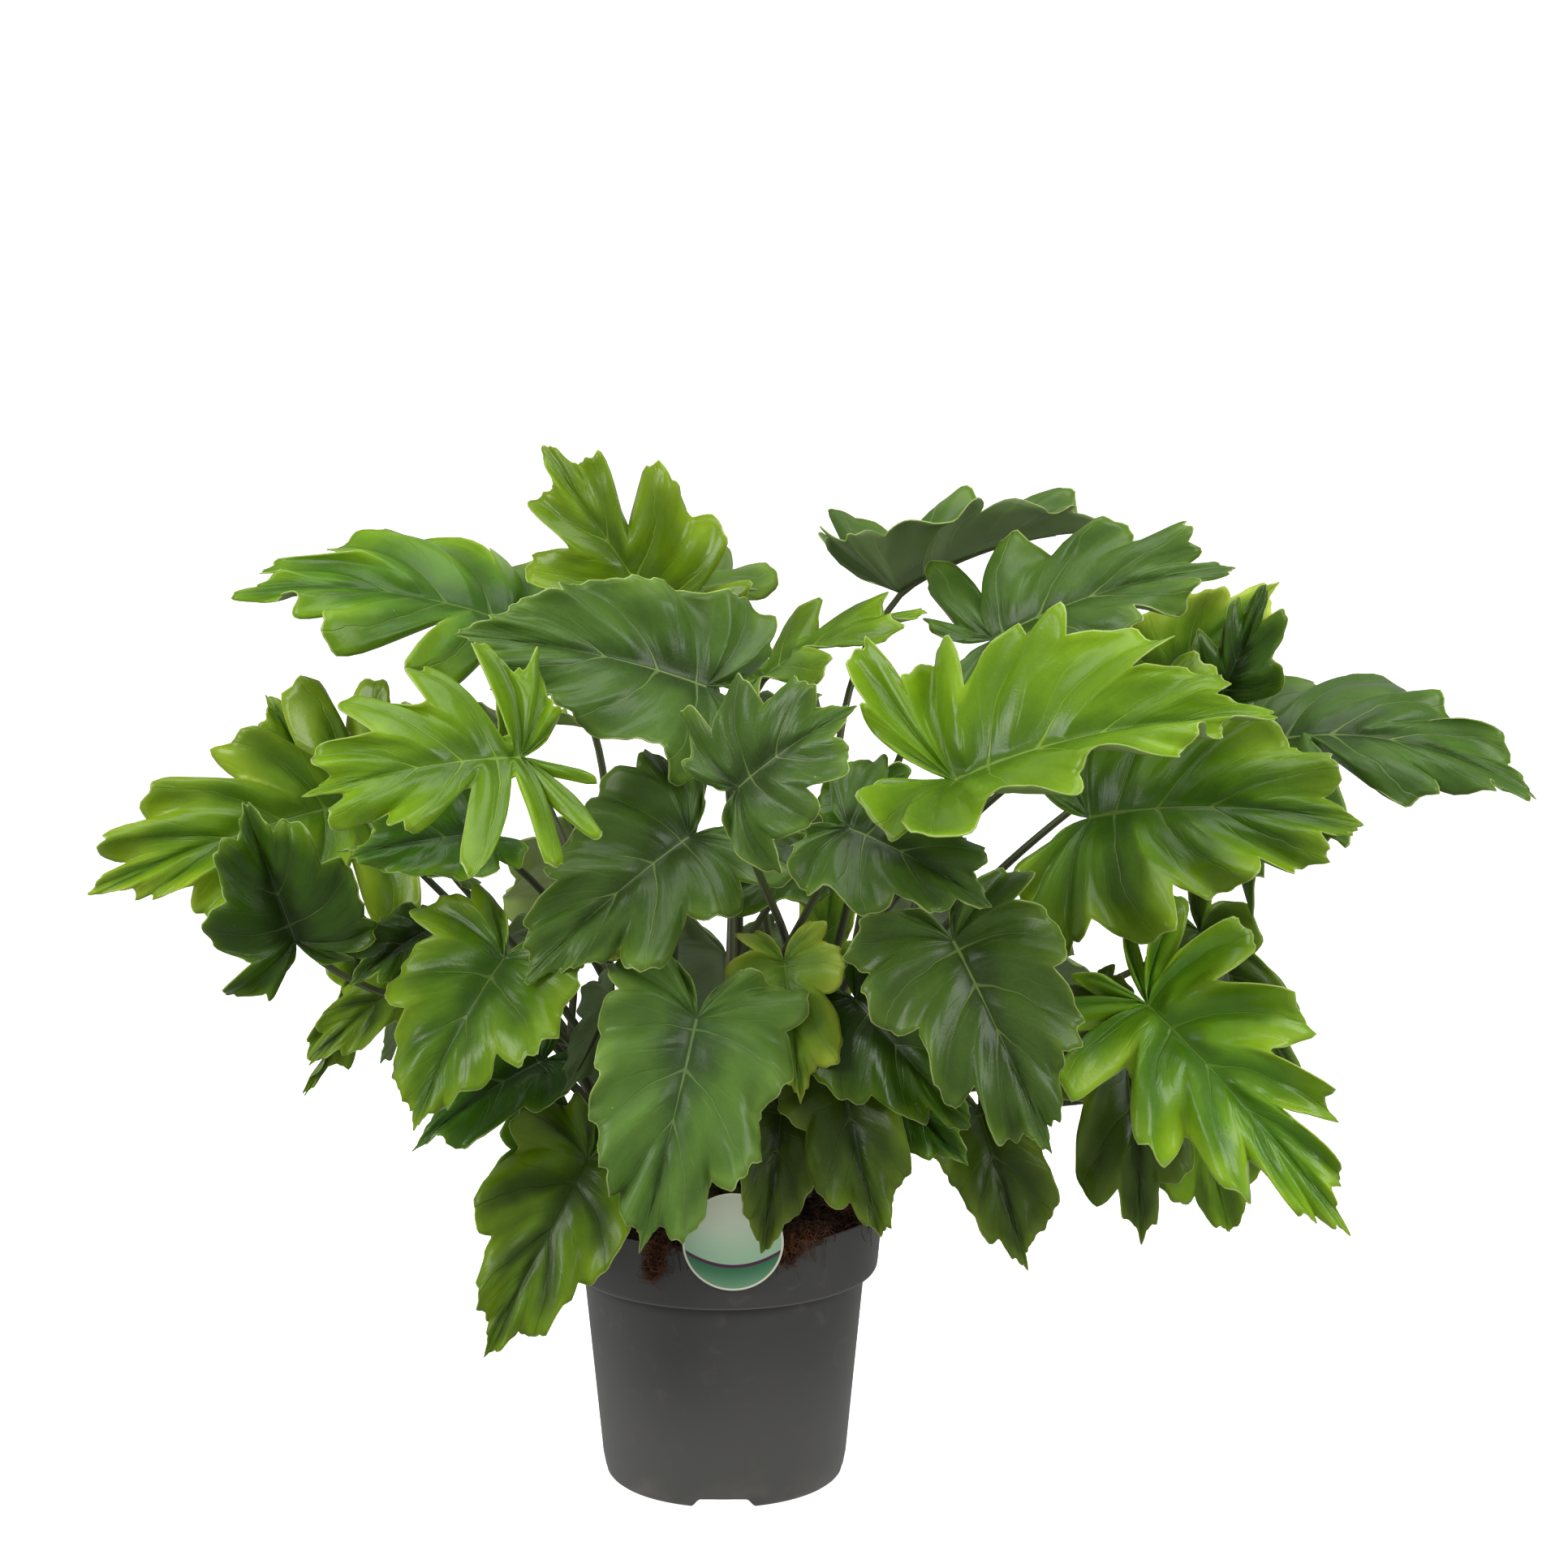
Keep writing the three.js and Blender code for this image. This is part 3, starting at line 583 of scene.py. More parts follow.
class Look(Enum):
    """The kinds of blade that the plant carries, from the oldest to the newest."""

    DEEP = LeafFinish(
        "deep", "#1a3004", "#325408", "#587c10", "#566e30", "#56683a",
        margin_from=0.7, streaks=0.3, rib=0.5, roughness=0.32,
    )
    DARK = LeafFinish(
        "dark", "#283e0e", "#436020", "#5a7726", "#78904a", "#667a48",
        margin_from=0.75, streaks=0.3, rib=0.6, roughness=0.34,
    )
    VEINED = LeafFinish(
        "veined", "#2d420a", "#58770e", "#728f14", "#2f400d", "#667a40",
        margin_from=0.5, streaks=0.95, rib=0.55, roughness=0.36,
    )
    EDGED = LeafFinish(
        "edged", "#2e520a", "#4c760e", "#7a9f1c", "#728c38", "#667a40",
        margin_from=0.45, streaks=0.7, rib=0.4, roughness=0.31,
    )
    OLIVE = LeafFinish(
        "olive", "#223408", "#40570e", "#6b8520", "#5f7434", "#667a40",
        margin_from=0.55, streaks=0.5, rib=0.35, roughness=0.34,
    )
    MID = LeafFinish(
        "mid", "#344e12", "#51701e", "#6f9024", "#7d984c", "#6f8450",
        margin_from=0.7, streaks=0.4, rib=0.5, roughness=0.35,
    )
    SOFT = LeafFinish(
        "soft", "#304a1a", "#54762c", "#6d8c38", "#82995a", "#6f8450",
        margin_from=0.75, streaks=0.3, rib=0.45, roughness=0.38,
    )
    BRIGHT = LeafFinish(
        "bright", "#44620c", "#5c7b0e", "#759214", "#8ca538", "#7d964a",
        margin_from=0.6, streaks=0.45, rib=0.5, roughness=0.26,
    )
    STREAKED = LeafFinish(
        "streaked", "#41680c", "#638a17", "#90ae28", "#8ba53c", "#7d964a",
        margin_from=0.45, streaks=0.95, rib=0.25, roughness=0.26,
    )
    YELLOW = LeafFinish(
        "yellow", "#496c14", "#6f8e1e", "#a9b83c", "#a3b45e", "#8fa455",
        margin_from=0.5, streaks=0.55, rib=0.3, roughness=0.36,
    )


@dataclass(frozen=True)
class PetioleFinish:
    """The streaked green of the leaf stalks and stems."""

    dark: str = "#353a20"
    light: str = "#59623a"
    scar: str = "#6b5a3c"

    STREAKS_ROUND = 7.0
    STREAKS_ALONG = 1.5

    def material(self) -> Material:
        """Makes the finish."""
        recipe = Recipe("petiole_green", 0.45, 0.35)
        u, v = recipe.lay()
        along = recipe.together(u * self.STREAKS_ROUND, v * self.STREAKS_ALONG)
        streak = recipe.speckle(1.0, 3, along).ease(0.35, 0.7)
        colour = recipe.blend(streak, self.dark, self.light)
        colour = recipe.blend(recipe.speckle(180, 2).ease(0.66, 0.72, 0.5), colour, self.scar)
        return recipe.finish(colour, None, recipe.emboss(streak, 0.15))


@dataclass(frozen=True)
class BarkFinish:
    """The knobbed stems, brown with green between the leaf scars."""

    brown: str = "#4b3a26"
    green: str = "#5c6636"

    def material(self) -> Material:
        """Makes the finish."""
        recipe = Recipe("stem_bark", 0.75)
        patch = recipe.speckle(60, 4).ease(0.42, 0.6)
        normal = recipe.emboss(recipe.speckle(350, 3), 0.6)
        return recipe.finish(recipe.blend(patch, self.brown, self.green), None, normal)


@dataclass(frozen=True)
class SoilFinish:
    """Moist peat and the coir fibres in it."""

    peat: str = "#21160f"
    crumb: str = "#452e1f"
    coir_dark: str = "#3a2214"
    coir_light: str = "#74482c"

    def peat_material(self) -> Material:
        """Makes the finish of the peat and its crumbs."""
        recipe = Recipe("soil_peat", 0.95, 0.25)
        grains = recipe.speckle(450, 4)
        colour = recipe.blend(grains.ease(0.4, 0.68), self.peat, self.crumb)
        normal = recipe.emboss(recipe.speckle(160, 5), 2.5)
        return recipe.finish(colour, None, recipe.emboss(grains, 0.8, normal))

    def coir_material(self) -> Material:
        """Makes the finish of the fibres."""
        recipe = Recipe("soil_coir", 0.8, 0.3)
        share = recipe.speckle(120, 2).ease(0.35, 0.7)
        return recipe.finish(recipe.blend(share, self.coir_dark, self.coir_light))


@dataclass(frozen=True)
class PotFinish:
    """Dark grey moulded plastic with scuffs, flecks and a dusty foot, painted paler low down as bounce
    light, with a painted shadow under its band and a painted highlight along the band's foot.
    """

    grey: str = "#3b3b39"
    # Painted bounce light: the paler grey that the wall takes low down.
    low_grey: str = "#4e4e4b"
    scuffed: str = "#5a5854"
    # The colour of the dusty foot and the flecks, and also of the painted highlight on the band's foot.
    dust_and_highlight: str = "#77736b"
    # Painted shadow under the rim's band.
    shadow: str = "#262625"

    PALER_FROM = 130.0
    PALEST_AT = 30.0
    SHADOW_DEPTH = 9.0
    # How far above the band's foot the painted highlight fades out, in millimetres.
    HIGHLIGHT_HEIGHT = 2.2
    DUST_TOP = 28.0
    FLECKS = 38.0
    FLECK = 0.035

    def material(self, band_foot: float) -> Material:
        """Makes the finish.

        Args:
            band_foot: The height in millimetres where the rim's band starts.

        Returns:
            The material.
        """
        recipe = Recipe("pot_plastic", 0.48, 0.45)
        height = recipe.parts(recipe.place())[2]
        cloud = recipe.speckle(14, 4)
        scuff = recipe.speckle(70, 6, Distortion=0.6).ease(0.55, 0.85, 0.6)
        band = band_foot * MM
        # Painted shadow: the wall darkens towards the rim's band above it, where the band's overhang shades
        # it.
        below = height.ease(band - self.SHADOW_DEPTH * MM, band - MM, 0.65)
        below = below * (1.0 - height.above(band - 0.2 * MM))
        # Painted highlight: a paler line along the foot of the band, where its rounded edge would catch the
        # light.
        painted_edge_highlight = height.ease(band + self.HIGHLIGHT_HEIGHT * MM, band + MM, 0.5) * height.above(band)
        dusty = height.ease(self.DUST_TOP * MM, 0.0, 0.5) * recipe.speckle(45, 5).ease(0.4, 0.75)
        fleck = recipe.cells(self.FLECKS).ease(self.FLECK, self.FLECK * 0.6)
        fleck = fleck * recipe.speckle(9, 1).above(0.56)
        # Painted bounce light: the wall grows paler low down, as if lit from the floor below.
        low = height.ease(self.PALER_FROM * MM, self.PALEST_AT * MM)
        colour = recipe.blend(low, self.grey, self.low_grey)
        # The layers, in order: random mottle, the painted shadow, the painted highlight, scuffs, the dusty
        # foot and flecks.
        layers = (
            (cloud * 0.4, self.scuffed), (below, self.shadow), (painted_edge_highlight, self.dust_and_highlight), (scuff, self.scuffed),
            (dusty, self.dust_and_highlight), (fleck, self.dust_and_highlight),
        )
        for share, layer in layers:
            colour = recipe.blend(share, colour, layer)
        return recipe.finish(colour, cloud * 0.16 + 0.4, recipe.emboss(recipe.speckle(900, 2), 0.05))


@dataclass(frozen=True)
class LabelFinish:
    """A plain card of pale green with a darker foot and a thin plum line between them."""

    pale: str = "#d3dcc3"
    middle: str = "#8fc09a"
    foot: str = "#2f7048"
    plum: str = "#4a2140"
    edge: str = "#e9e6cf"
    black: str = "#131312"
    worn: str = "#232321"

    LINE_AT = -0.5
    LINE_WIDTH = 0.035
    SAG = 0.35

    def card(self, label: "PlantLabel") -> Material:
        """Makes the printed face.

        Args:
            label: The label that carries it, for its middle and its radius.

        Returns:
            The material.
        """
        recipe = Recipe("label_print", 0.28)
        x, _, z = recipe.parts(recipe.place())
        unit = 1 / (label.radius * MM)
        across = x * unit - label.x / label.radius
        up = z * unit - (label.top - label.radius) / label.radius
        level = up - across * across * self.SAG
        colour = recipe.blend(level.ease(0.7, self.LINE_AT, 0.8), self.pale, self.middle)
        foot = recipe.blend(level.ease(self.LINE_AT, -1.3), self.foot, self.middle)
        colour = recipe.blend(level.ease(self.LINE_AT, self.LINE_AT - 0.02), colour, foot)
        line = recipe.calc("COMPARE", level, self.LINE_AT, self.LINE_WIDTH)
        colour = recipe.blend(line, colour, self.plum)
        out = recipe.calc("SQRT", across * across + up * up)
        colour = recipe.blend(out.ease(0.95, 0.965), colour, self.edge)
        return recipe.finish(colour, None, recipe.emboss(recipe.speckle(300, 2), 0.02))

    def clip(self) -> Material:
        """Makes the black plastic of the hook and the stake."""
        recipe = Recipe("label_clip", 0.4)
        return recipe.finish(recipe.blend(recipe.speckle(120, 3), self.black, self.worn))


@functools.cache
def blade_materials(look: Look) -> tuple[Material, ...]:
    """Makes the finishes of a look's blades once: upper side, underside and edge."""
    finish = look.value
    return finish.upper(), finish.underside(), finish.rim()


@functools.cache
def petiole_material() -> Material:
    """Makes the finish of the petioles once."""
    return PetioleFinish().material()


@dataclass(frozen=True)
class LeafForm:
    """One leaf, as the solid model has it.

    neck is where petiole and blade meet, tip the end of the midrib, and face where the upper side looks.
    wide is the width for the length and cut the depth of the bays. droop lowers the edges and wave
    ripples them. arch, fold, ears and swing are degrees. rise and lean shape the petiole.
    """

    name: str
    neck: Point
    tip: Point
    face: Point
    wide: float = 0.9
    cut: float = 0.3
    lobes: int = 4
    arch: float = 35
    fold: float = 12
    droop: float = 0.25
    wave: float = 0.05
    ears: float = 12
    swing: float = 0
    rise: float = 0.45
    lean: float = 0.8
    tone: Tone = Tone.MID
    look: Look | None = None

    def dress(self) -> Look:
        """Gives the blade's look, which is its tone's own unless it has one."""
        return self.look or Look[self.tone.name]


class Blade:
    """The lobed blade of one leaf.

    A place on it is given by a, from the sinus at the neck to the tip, by b, from the midrib to the
    edge, and by the side. Its own lengths are parts of the midrib's length.
    """

    THICKNESS = 0.9
    ROWS_PER_LOBE = 20
    COLUMNS = 26
    QUILT = 0.018
    SWELL = 0.045
    SWELLS = 1.1
    FRILL = 0.048
    FRILLS = 3.1
    PLEAT = 0.009
    PLEATS = 4.0
    TEETH = 0.18
    SLOW_TEETH = 2.3
    FAST_TEETH = 6.7
    SCALLOP = 0.085
    SCALLOPS = 2.0
    POINT_AT = 0.72
    LONGEST = 0.62
    BAY_FROM = 0.78
    UNEVEN_LOBES = 0.14
    UNEVEN_BAYS = 0.6
    TAPER = 0.1
    FAN_END = 0.35
    LAST_VEIN = 0.8
    WIDEST_ANGLE = 170
    SWEEP = 0.3
    EARED = 0.45

    def __init__(self, form: LeafForm) -> None:
        """Places the blade and draws its uneven lobes."""
        self.form = form
        draw = SeededDraw(form.name)
        self.phase = 3 * draw.next()
        self.draws = [draw.next() for _ in range(4 * form.lobes)]
        self.shade = draw.next()
        self.turn = math.radians(form.arch)
        self.placement = self.place()

    def place(self) -> Matrix:
        """Turns and scales the blade so that its midrib runs from neck to tip."""
        form = self.form
        neck, face = Vector(form.neck), Vector(form.face)
        chord = Vector(form.tip) - neck
        scale = chord.length / (2 * math.sin(self.turn / 2) / self.turn)
        forward = chord.normalized()
        upward = (face - forward * face.dot(forward)).normalized()
        axes = Matrix((forward, upward.cross(forward), upward)).transposed().to_4x4()
        turned = Matrix.Rotation(-self.turn / 2, 4, "Y")
        return Matrix.Translation(neck) @ axes @ turned @ Matrix.Scale(scale, 4)

    def foot(self, a: float) -> float:
        """Gives how far along the midrib vein a starts: the first veins all fan out from the neck."""
        return self.LAST_VEIN * max(0.0, (a - self.FAN_END) / (1 - self.FAN_END)) ** 1.4

    def angle(self, a: float) -> float:
        """Gives the angle between the midrib and vein a."""
        return math.radians(self.WIDEST_ANGLE * (1 - a) ** 1.15 + 8 * a * (1 - a))

    def envelope(self, a: float) -> float:
        """Gives how far a blade without bays would stand out at a."""
        swell = 0.2 * a + 0.4 * max(0.0, math.sin(math.pi * a)) ** 0.7
        taper = 1 - self.TAPER * smooth(0.72, 0.86, a) * smooth(1, 0.95, a)
        return swell * taper * (1 + self.EARED * max(0.0, -math.cos(self.angle(a))))

    def bay(self, part: float) -> float:
        """Gives how deep a place on a lobe lies in the bay before or after it, from 0 to 1.

        The deeper a blade is cut, the broader its bays are, so that its lobes become fingers.
        """
        fingers = smooth(0.25, 0.5, self.form.cut)
        if part < self.LONGEST:
            return lerp((1 - part / self.LONGEST) ** 2, smooth(0.46, 0.12, part), fingers)
        return max(0.0, (part - self.BAY_FROM) / (1 - self.BAY_FROM)) ** lerp(1.6, 0.8, fingers)

    def reach(self, side: int, a: float) -> float:
        """Gives how far the edge stands out at a: uneven lobes that point forward, with uneven bays."""
        lobes = self.form.lobes
        index = min(lobes - 1, math.floor(a * lobes + 1e-6))
        part = a * lobes - index
        rising = part < self.LONGEST
        bare = (index == 0 and rising) or (index == lobes - 1 and not rising)
        lobe = index + (0 if side > 0 else lobes)
        bay_draw = self.draws[2 * lobes + lobe - (1 if rising else 0)]
        shallower = 1 - 0.25 * smooth(0.65, 0.75, a) - 0.3 * smooth(0.75, 0.85, a)
        depth = 0 if bare else self.form.cut * (1 + self.UNEVEN_BAYS * bay_draw) * shallower
        uneven = self.UNEVEN_LOBES * self.draws[lobe] * math.sin(math.pi * part)
        return self.envelope(a) * (1 - depth * self.bay(part)) * (1 + uneven) * (1 + self.teeth(side, a))

    def waves(self, a: float, pace: float, across: float, seed: float) -> float:
        """Gives this leaf's own smooth noise.

        Args:
            a: The place along the blade.
            pace: The waves for each lobe.
            across: The place across the blade, in waves.
            seed: Tells one noise of the leaf from another.

        Returns:
            A number between -1 and 1.
        """
        return noise.noise(Vector((pace * self.form.lobes * a, across, seed * self.shade)))

    def teeth(self, side: int, a: float) -> float:
        """Gives the small uneven teeth of the margin, finer than the lobes."""
        slow = self.waves(a, self.SLOW_TEETH, 11 * side, 6) * (0.3 + self.form.cut)
        fast = self.waves(a, self.FAST_TEETH, 17 * side, 8)
        drift = 1.4 * self.waves(a, 0.9, 5 * side, 4)
        place = (self.SCALLOPS * self.form.lobes * a + drift) % 1
        point = place / self.POINT_AT if place < self.POINT_AT else (1 - place) / (1 - self.POINT_AT)
        size = smooth(-0.3, 0.3, self.waves(a, 1.3, 23 * side, 3))
        scallop = self.SCALLOP * (point**1.3 - 0.45) * (0.35 + 0.65 * size)
        ends = smooth(0, 0.1, a) * smooth(1, 0.93, a)
        return (self.TEETH * (slow + 0.35 * fast) + scallop) * ends

    def relief(self, side: int, a: float, b: float) -> float:
        """Gives the height of the quilting, the swells, the frill and the pleats at a place."""
        part = (a * self.form.lobes) % 1
        past = (part - self.LONGEST) / (1 - self.LONGEST)
        from_vein = max(past, 1 - part / self.LONGEST)
        quilt = self.QUILT * from_vein**0.6 * smooth(0, 0.25, b) * smooth(1.05, 0.6, b)
        swell = self.SWELL * self.waves(a, self.SWELLS, side * (3 + 1.4 * b), 9) * smooth(0.1, 0.9, b)
        frill = self.FRILL * self.waves(a, self.FRILLS, side * (5 + 2 * b), 7) * smooth(0.5, 1, b)
        pleat = self.PLEAT * self.waves(a, self.PLEATS, side * (2 + 1.2 * b), 5) * smooth(0.05, 0.35, b)
        return quilt + swell + frill + pleat

    def point(self, side: int, a: float, b: float) -> Vector:
        """Gives a point of the blade's middle surface in its own frame."""
        form = self.form
        angle = self.angle(a) - self.SWEEP * b * math.sin(math.pi * a)
        reach = self.reach(side, a) * b
        along = self.foot(a) + reach * math.cos(angle)
        across = reach * math.sin(angle) * form.wide
        ends = smooth(0, 0.1, a) * smooth(1, 0.72, a)
        ripple = form.wave * b * b * math.sin(2 * math.pi * form.lobes * a + self.phase + side)
        height = across * math.tan(math.radians(form.fold)) - form.droop * across * across
        height += ends * (ripple + self.relief(side, a, b))
        bend = self.turn * max(0.0, along)
        back = min(0.0, along)
        lift = math.radians(form.ears)
        return Vector((
            math.sin(bend) / self.turn + height * math.sin(bend) + back * math.cos(lift),
            side * across,
            (math.cos(bend) - 1) / self.turn + height * math.cos(bend) - back * math.sin(lift),
        ))

    def at(self, side: int, a: float, b: float) -> Vector:
        """Gives a point of the middle surface on the plant, in millimetres."""
        return self.placement @ self.point(side, a, b)

    def down(self) -> Vector:
        """Gives the direction away from the upper side at the neck."""
        return (self.placement.to_3x3() @ Vector((0, 0, -1))).normalized()

    def build(self) -> Piece:
        """Models the blade: a sheet of the middle surface, thickened."""
        form = self.form

        def lay(u: float, v: float) -> Vector:
            out = 1 - 2 * u
            return self.at(1 if out >= 0 else -1, v, abs(out))

        rows = form.lobes * self.ROWS_PER_LOBE
        blade = Workbench.sheet(f"fine_leaf_{form.name}", self.COLUMNS, rows, lay)
        for material in blade_materials(form.dress()):
            blade.data.materials.append(material)
        Workbench.modify(
            blade, "SOLIDIFY", thickness=self.THICKNESS * MM, offset=0, use_even_offset=False,
            material_offset=1, material_offset_rim=2,
        )
        Workbench.number(blade, "lobes", form.lobes)
        Workbench.number(blade, "shade", self.shade)
        return blade


class Petiole:
    """The stalk that carries a blade and runs on under it as its midrib."""

    LOWEST_SEAT = 14
    BELOW_TOP = 16
    SPREAD = 20
    LOW_LEAN = 1.1
    HIGH_LEAN = 0.3
    ARRIVAL = 0.35
    BASE_RADIUS = 4.2
    NECK_RADIUS = 2.1
    TIP_RADIUS = 0.5
    CLEARANCE = 0.3
    SUNK = 3.0
    STEPS = 26
    RIB_STEPS = 12
    RIB_START = 0.42
    RIB_END = 0.97
    SIDES = 12

    def __init__(self, blade: Blade, stem: "Stem", index: int, rank: float) -> None:
        """Works out the way from the stem to the blade.

        Args:
            blade: The blade that it carries.
            stem: The stem that it rises from.
            index: Its number on that stem, from the lowest.
            rank: Its part of the way up that stem.
        """
        self.blade = blade
        form = blade.form
        neck = blade.at(1, 0, 0)
        fan = math.radians(form.swing + self.SPREAD * (index % 3 - 1))
        azimuth = math.atan2(form.neck[1] - stem.y, form.neck[0] - stem.x) + fan
        height = lerp(Soil.LEVEL + self.LOWEST_SEAT, stem.top - self.BELOW_TOP, rank)
        self.outward = Vector((*polar(azimuth), 0))
        rising = (self.outward * lerp(self.LOW_LEAN, self.HIGH_LEAN, rank) + Vector((0, 0, 1))).normalized()
        seat = stem.radius + self.CLEARANCE + self.BASE_RADIUS * rising.z
        start = Vector((stem.x, stem.y, height)) + self.outward * seat
        span = (neck - start).length
        level = Vector((neck.x - start.x, neck.y - start.y, 0)).normalized()
        arriving = (level * form.lean + Vector((0, 0, 0.6))).normalized()
        arrival = neck - arriving * self.ARRIVAL * span
        self.bezier = (start, start + rising * form.rise * span, arrival, neck)

    def on_curve(self, part: float) -> Vector:
        """Gives the point a part of the way from stem to neck."""
        start, first, second, end = self.bezier
        rest = 1 - part
        return start * rest**3 + first * 3 * rest**2 * part + second * 3 * rest * part**2 + end * part**3

    def build(self) -> Piece:
        """Models the petiole and the midrib under the blade as one tapering tube."""
        down = self.blade.down()
        path = [self.on_curve(0) - self.outward * self.SUNK]
        radii = [self.BASE_RADIUS]
        for step in range(self.STEPS + 1):
            part = step / self.STEPS
            radius = lerp(self.BASE_RADIUS, self.NECK_RADIUS, math.sqrt(part))
            path.append(self.on_curve(part) + down * 0.9 * radius * smooth(0.8, 1, part))
            radii.append(radius)
        for step in range(1, self.RIB_STEPS + 1):
            part = step / self.RIB_STEPS
            a = lerp(self.RIB_START, self.RIB_END, part)
            radius = lerp(self.NECK_RADIUS * 0.8, self.TIP_RADIUS, part)
            path.append(self.under(a, 0.7 * radius))
            radii.append(radius)
        name = f"petiole_{self.blade.form.name}"
        tube = Workbench.tube(name, path, radii, -self.outward, self.SIDES)
        tube.data.materials.append(petiole_material())
        return tube

    def under(self, a: float, drop: float) -> Vector:
        """Gives the point that far under the midrib at vein a."""
        here = self.blade.at(1, a, 0)
        along = (self.blade.at(1, min(1, a + 0.02), 0) - self.blade.at(1, a - 0.02, 0)).normalized()
        across = self.blade.at(1, a, 0.1) - self.blade.at(-1, a, 0.1)
        normal = along.cross(across).normalized()
        return here - normal * drop


@dataclass(frozen=True)
class Stem:
    """One short knobbed stem and its leaves, from the lowest petiole to the highest."""

    name: str
    x: float
    y: float
    radius: float
    top: float
    leaves: tuple[LeafForm, ...]

    ROOT = 60
    SIDES = 36
    ROWS = 60
    RINGS = 9
    RING_DEPTH = 0.7
    KNOB_DEPTH = 0.6
    KNOB_SCALE = 0.18

    def build(self) -> None:
        """Models the stem with its rings of leaf scars and dresses it."""
        bottom = Soil.LEVEL - self.ROOT
        height = self.top - bottom

        def lay(u: float, v: float) -> Vector:
            taper = 1 - 0.4 * smooth(0.9, 0.97, v) - 0.6 * smooth(0.96, 1, v)
            ring = self.RING_DEPTH * abs(math.sin(math.pi * self.RINGS * v))
            outward = Vector((*polar(2 * math.pi * u), 0))
            middle = Vector((self.x, self.y, bottom + height * v))
            knob = self.KNOB_DEPTH * noise.noise((middle + outward * self.radius) * self.KNOB_SCALE)
            return middle + outward * (self.radius - ring + knob) * taper

        stem = Workbench.sheet(f"fine_stem_{self.name}", self.SIDES, self.ROWS, lay, closed=True)
        stem.data.materials.append(BarkFinish().material())
        Workbench.hand_over(stem, "stem", f"stem_{self.name}")

    def build_leaves(self) -> None:
        """Models the leaves: each is a blade and its petiole, joined."""
        for index, form in enumerate(self.leaves):
            blade = Blade(form)
            petiole = Petiole(blade, self, index, (index + 0.5) / len(self.leaves))
            leaf = Workbench.join(blade.build(), [petiole.build()])
            Workbench.hand_over(leaf, form.tone.value, f"leaf_{form.name}")


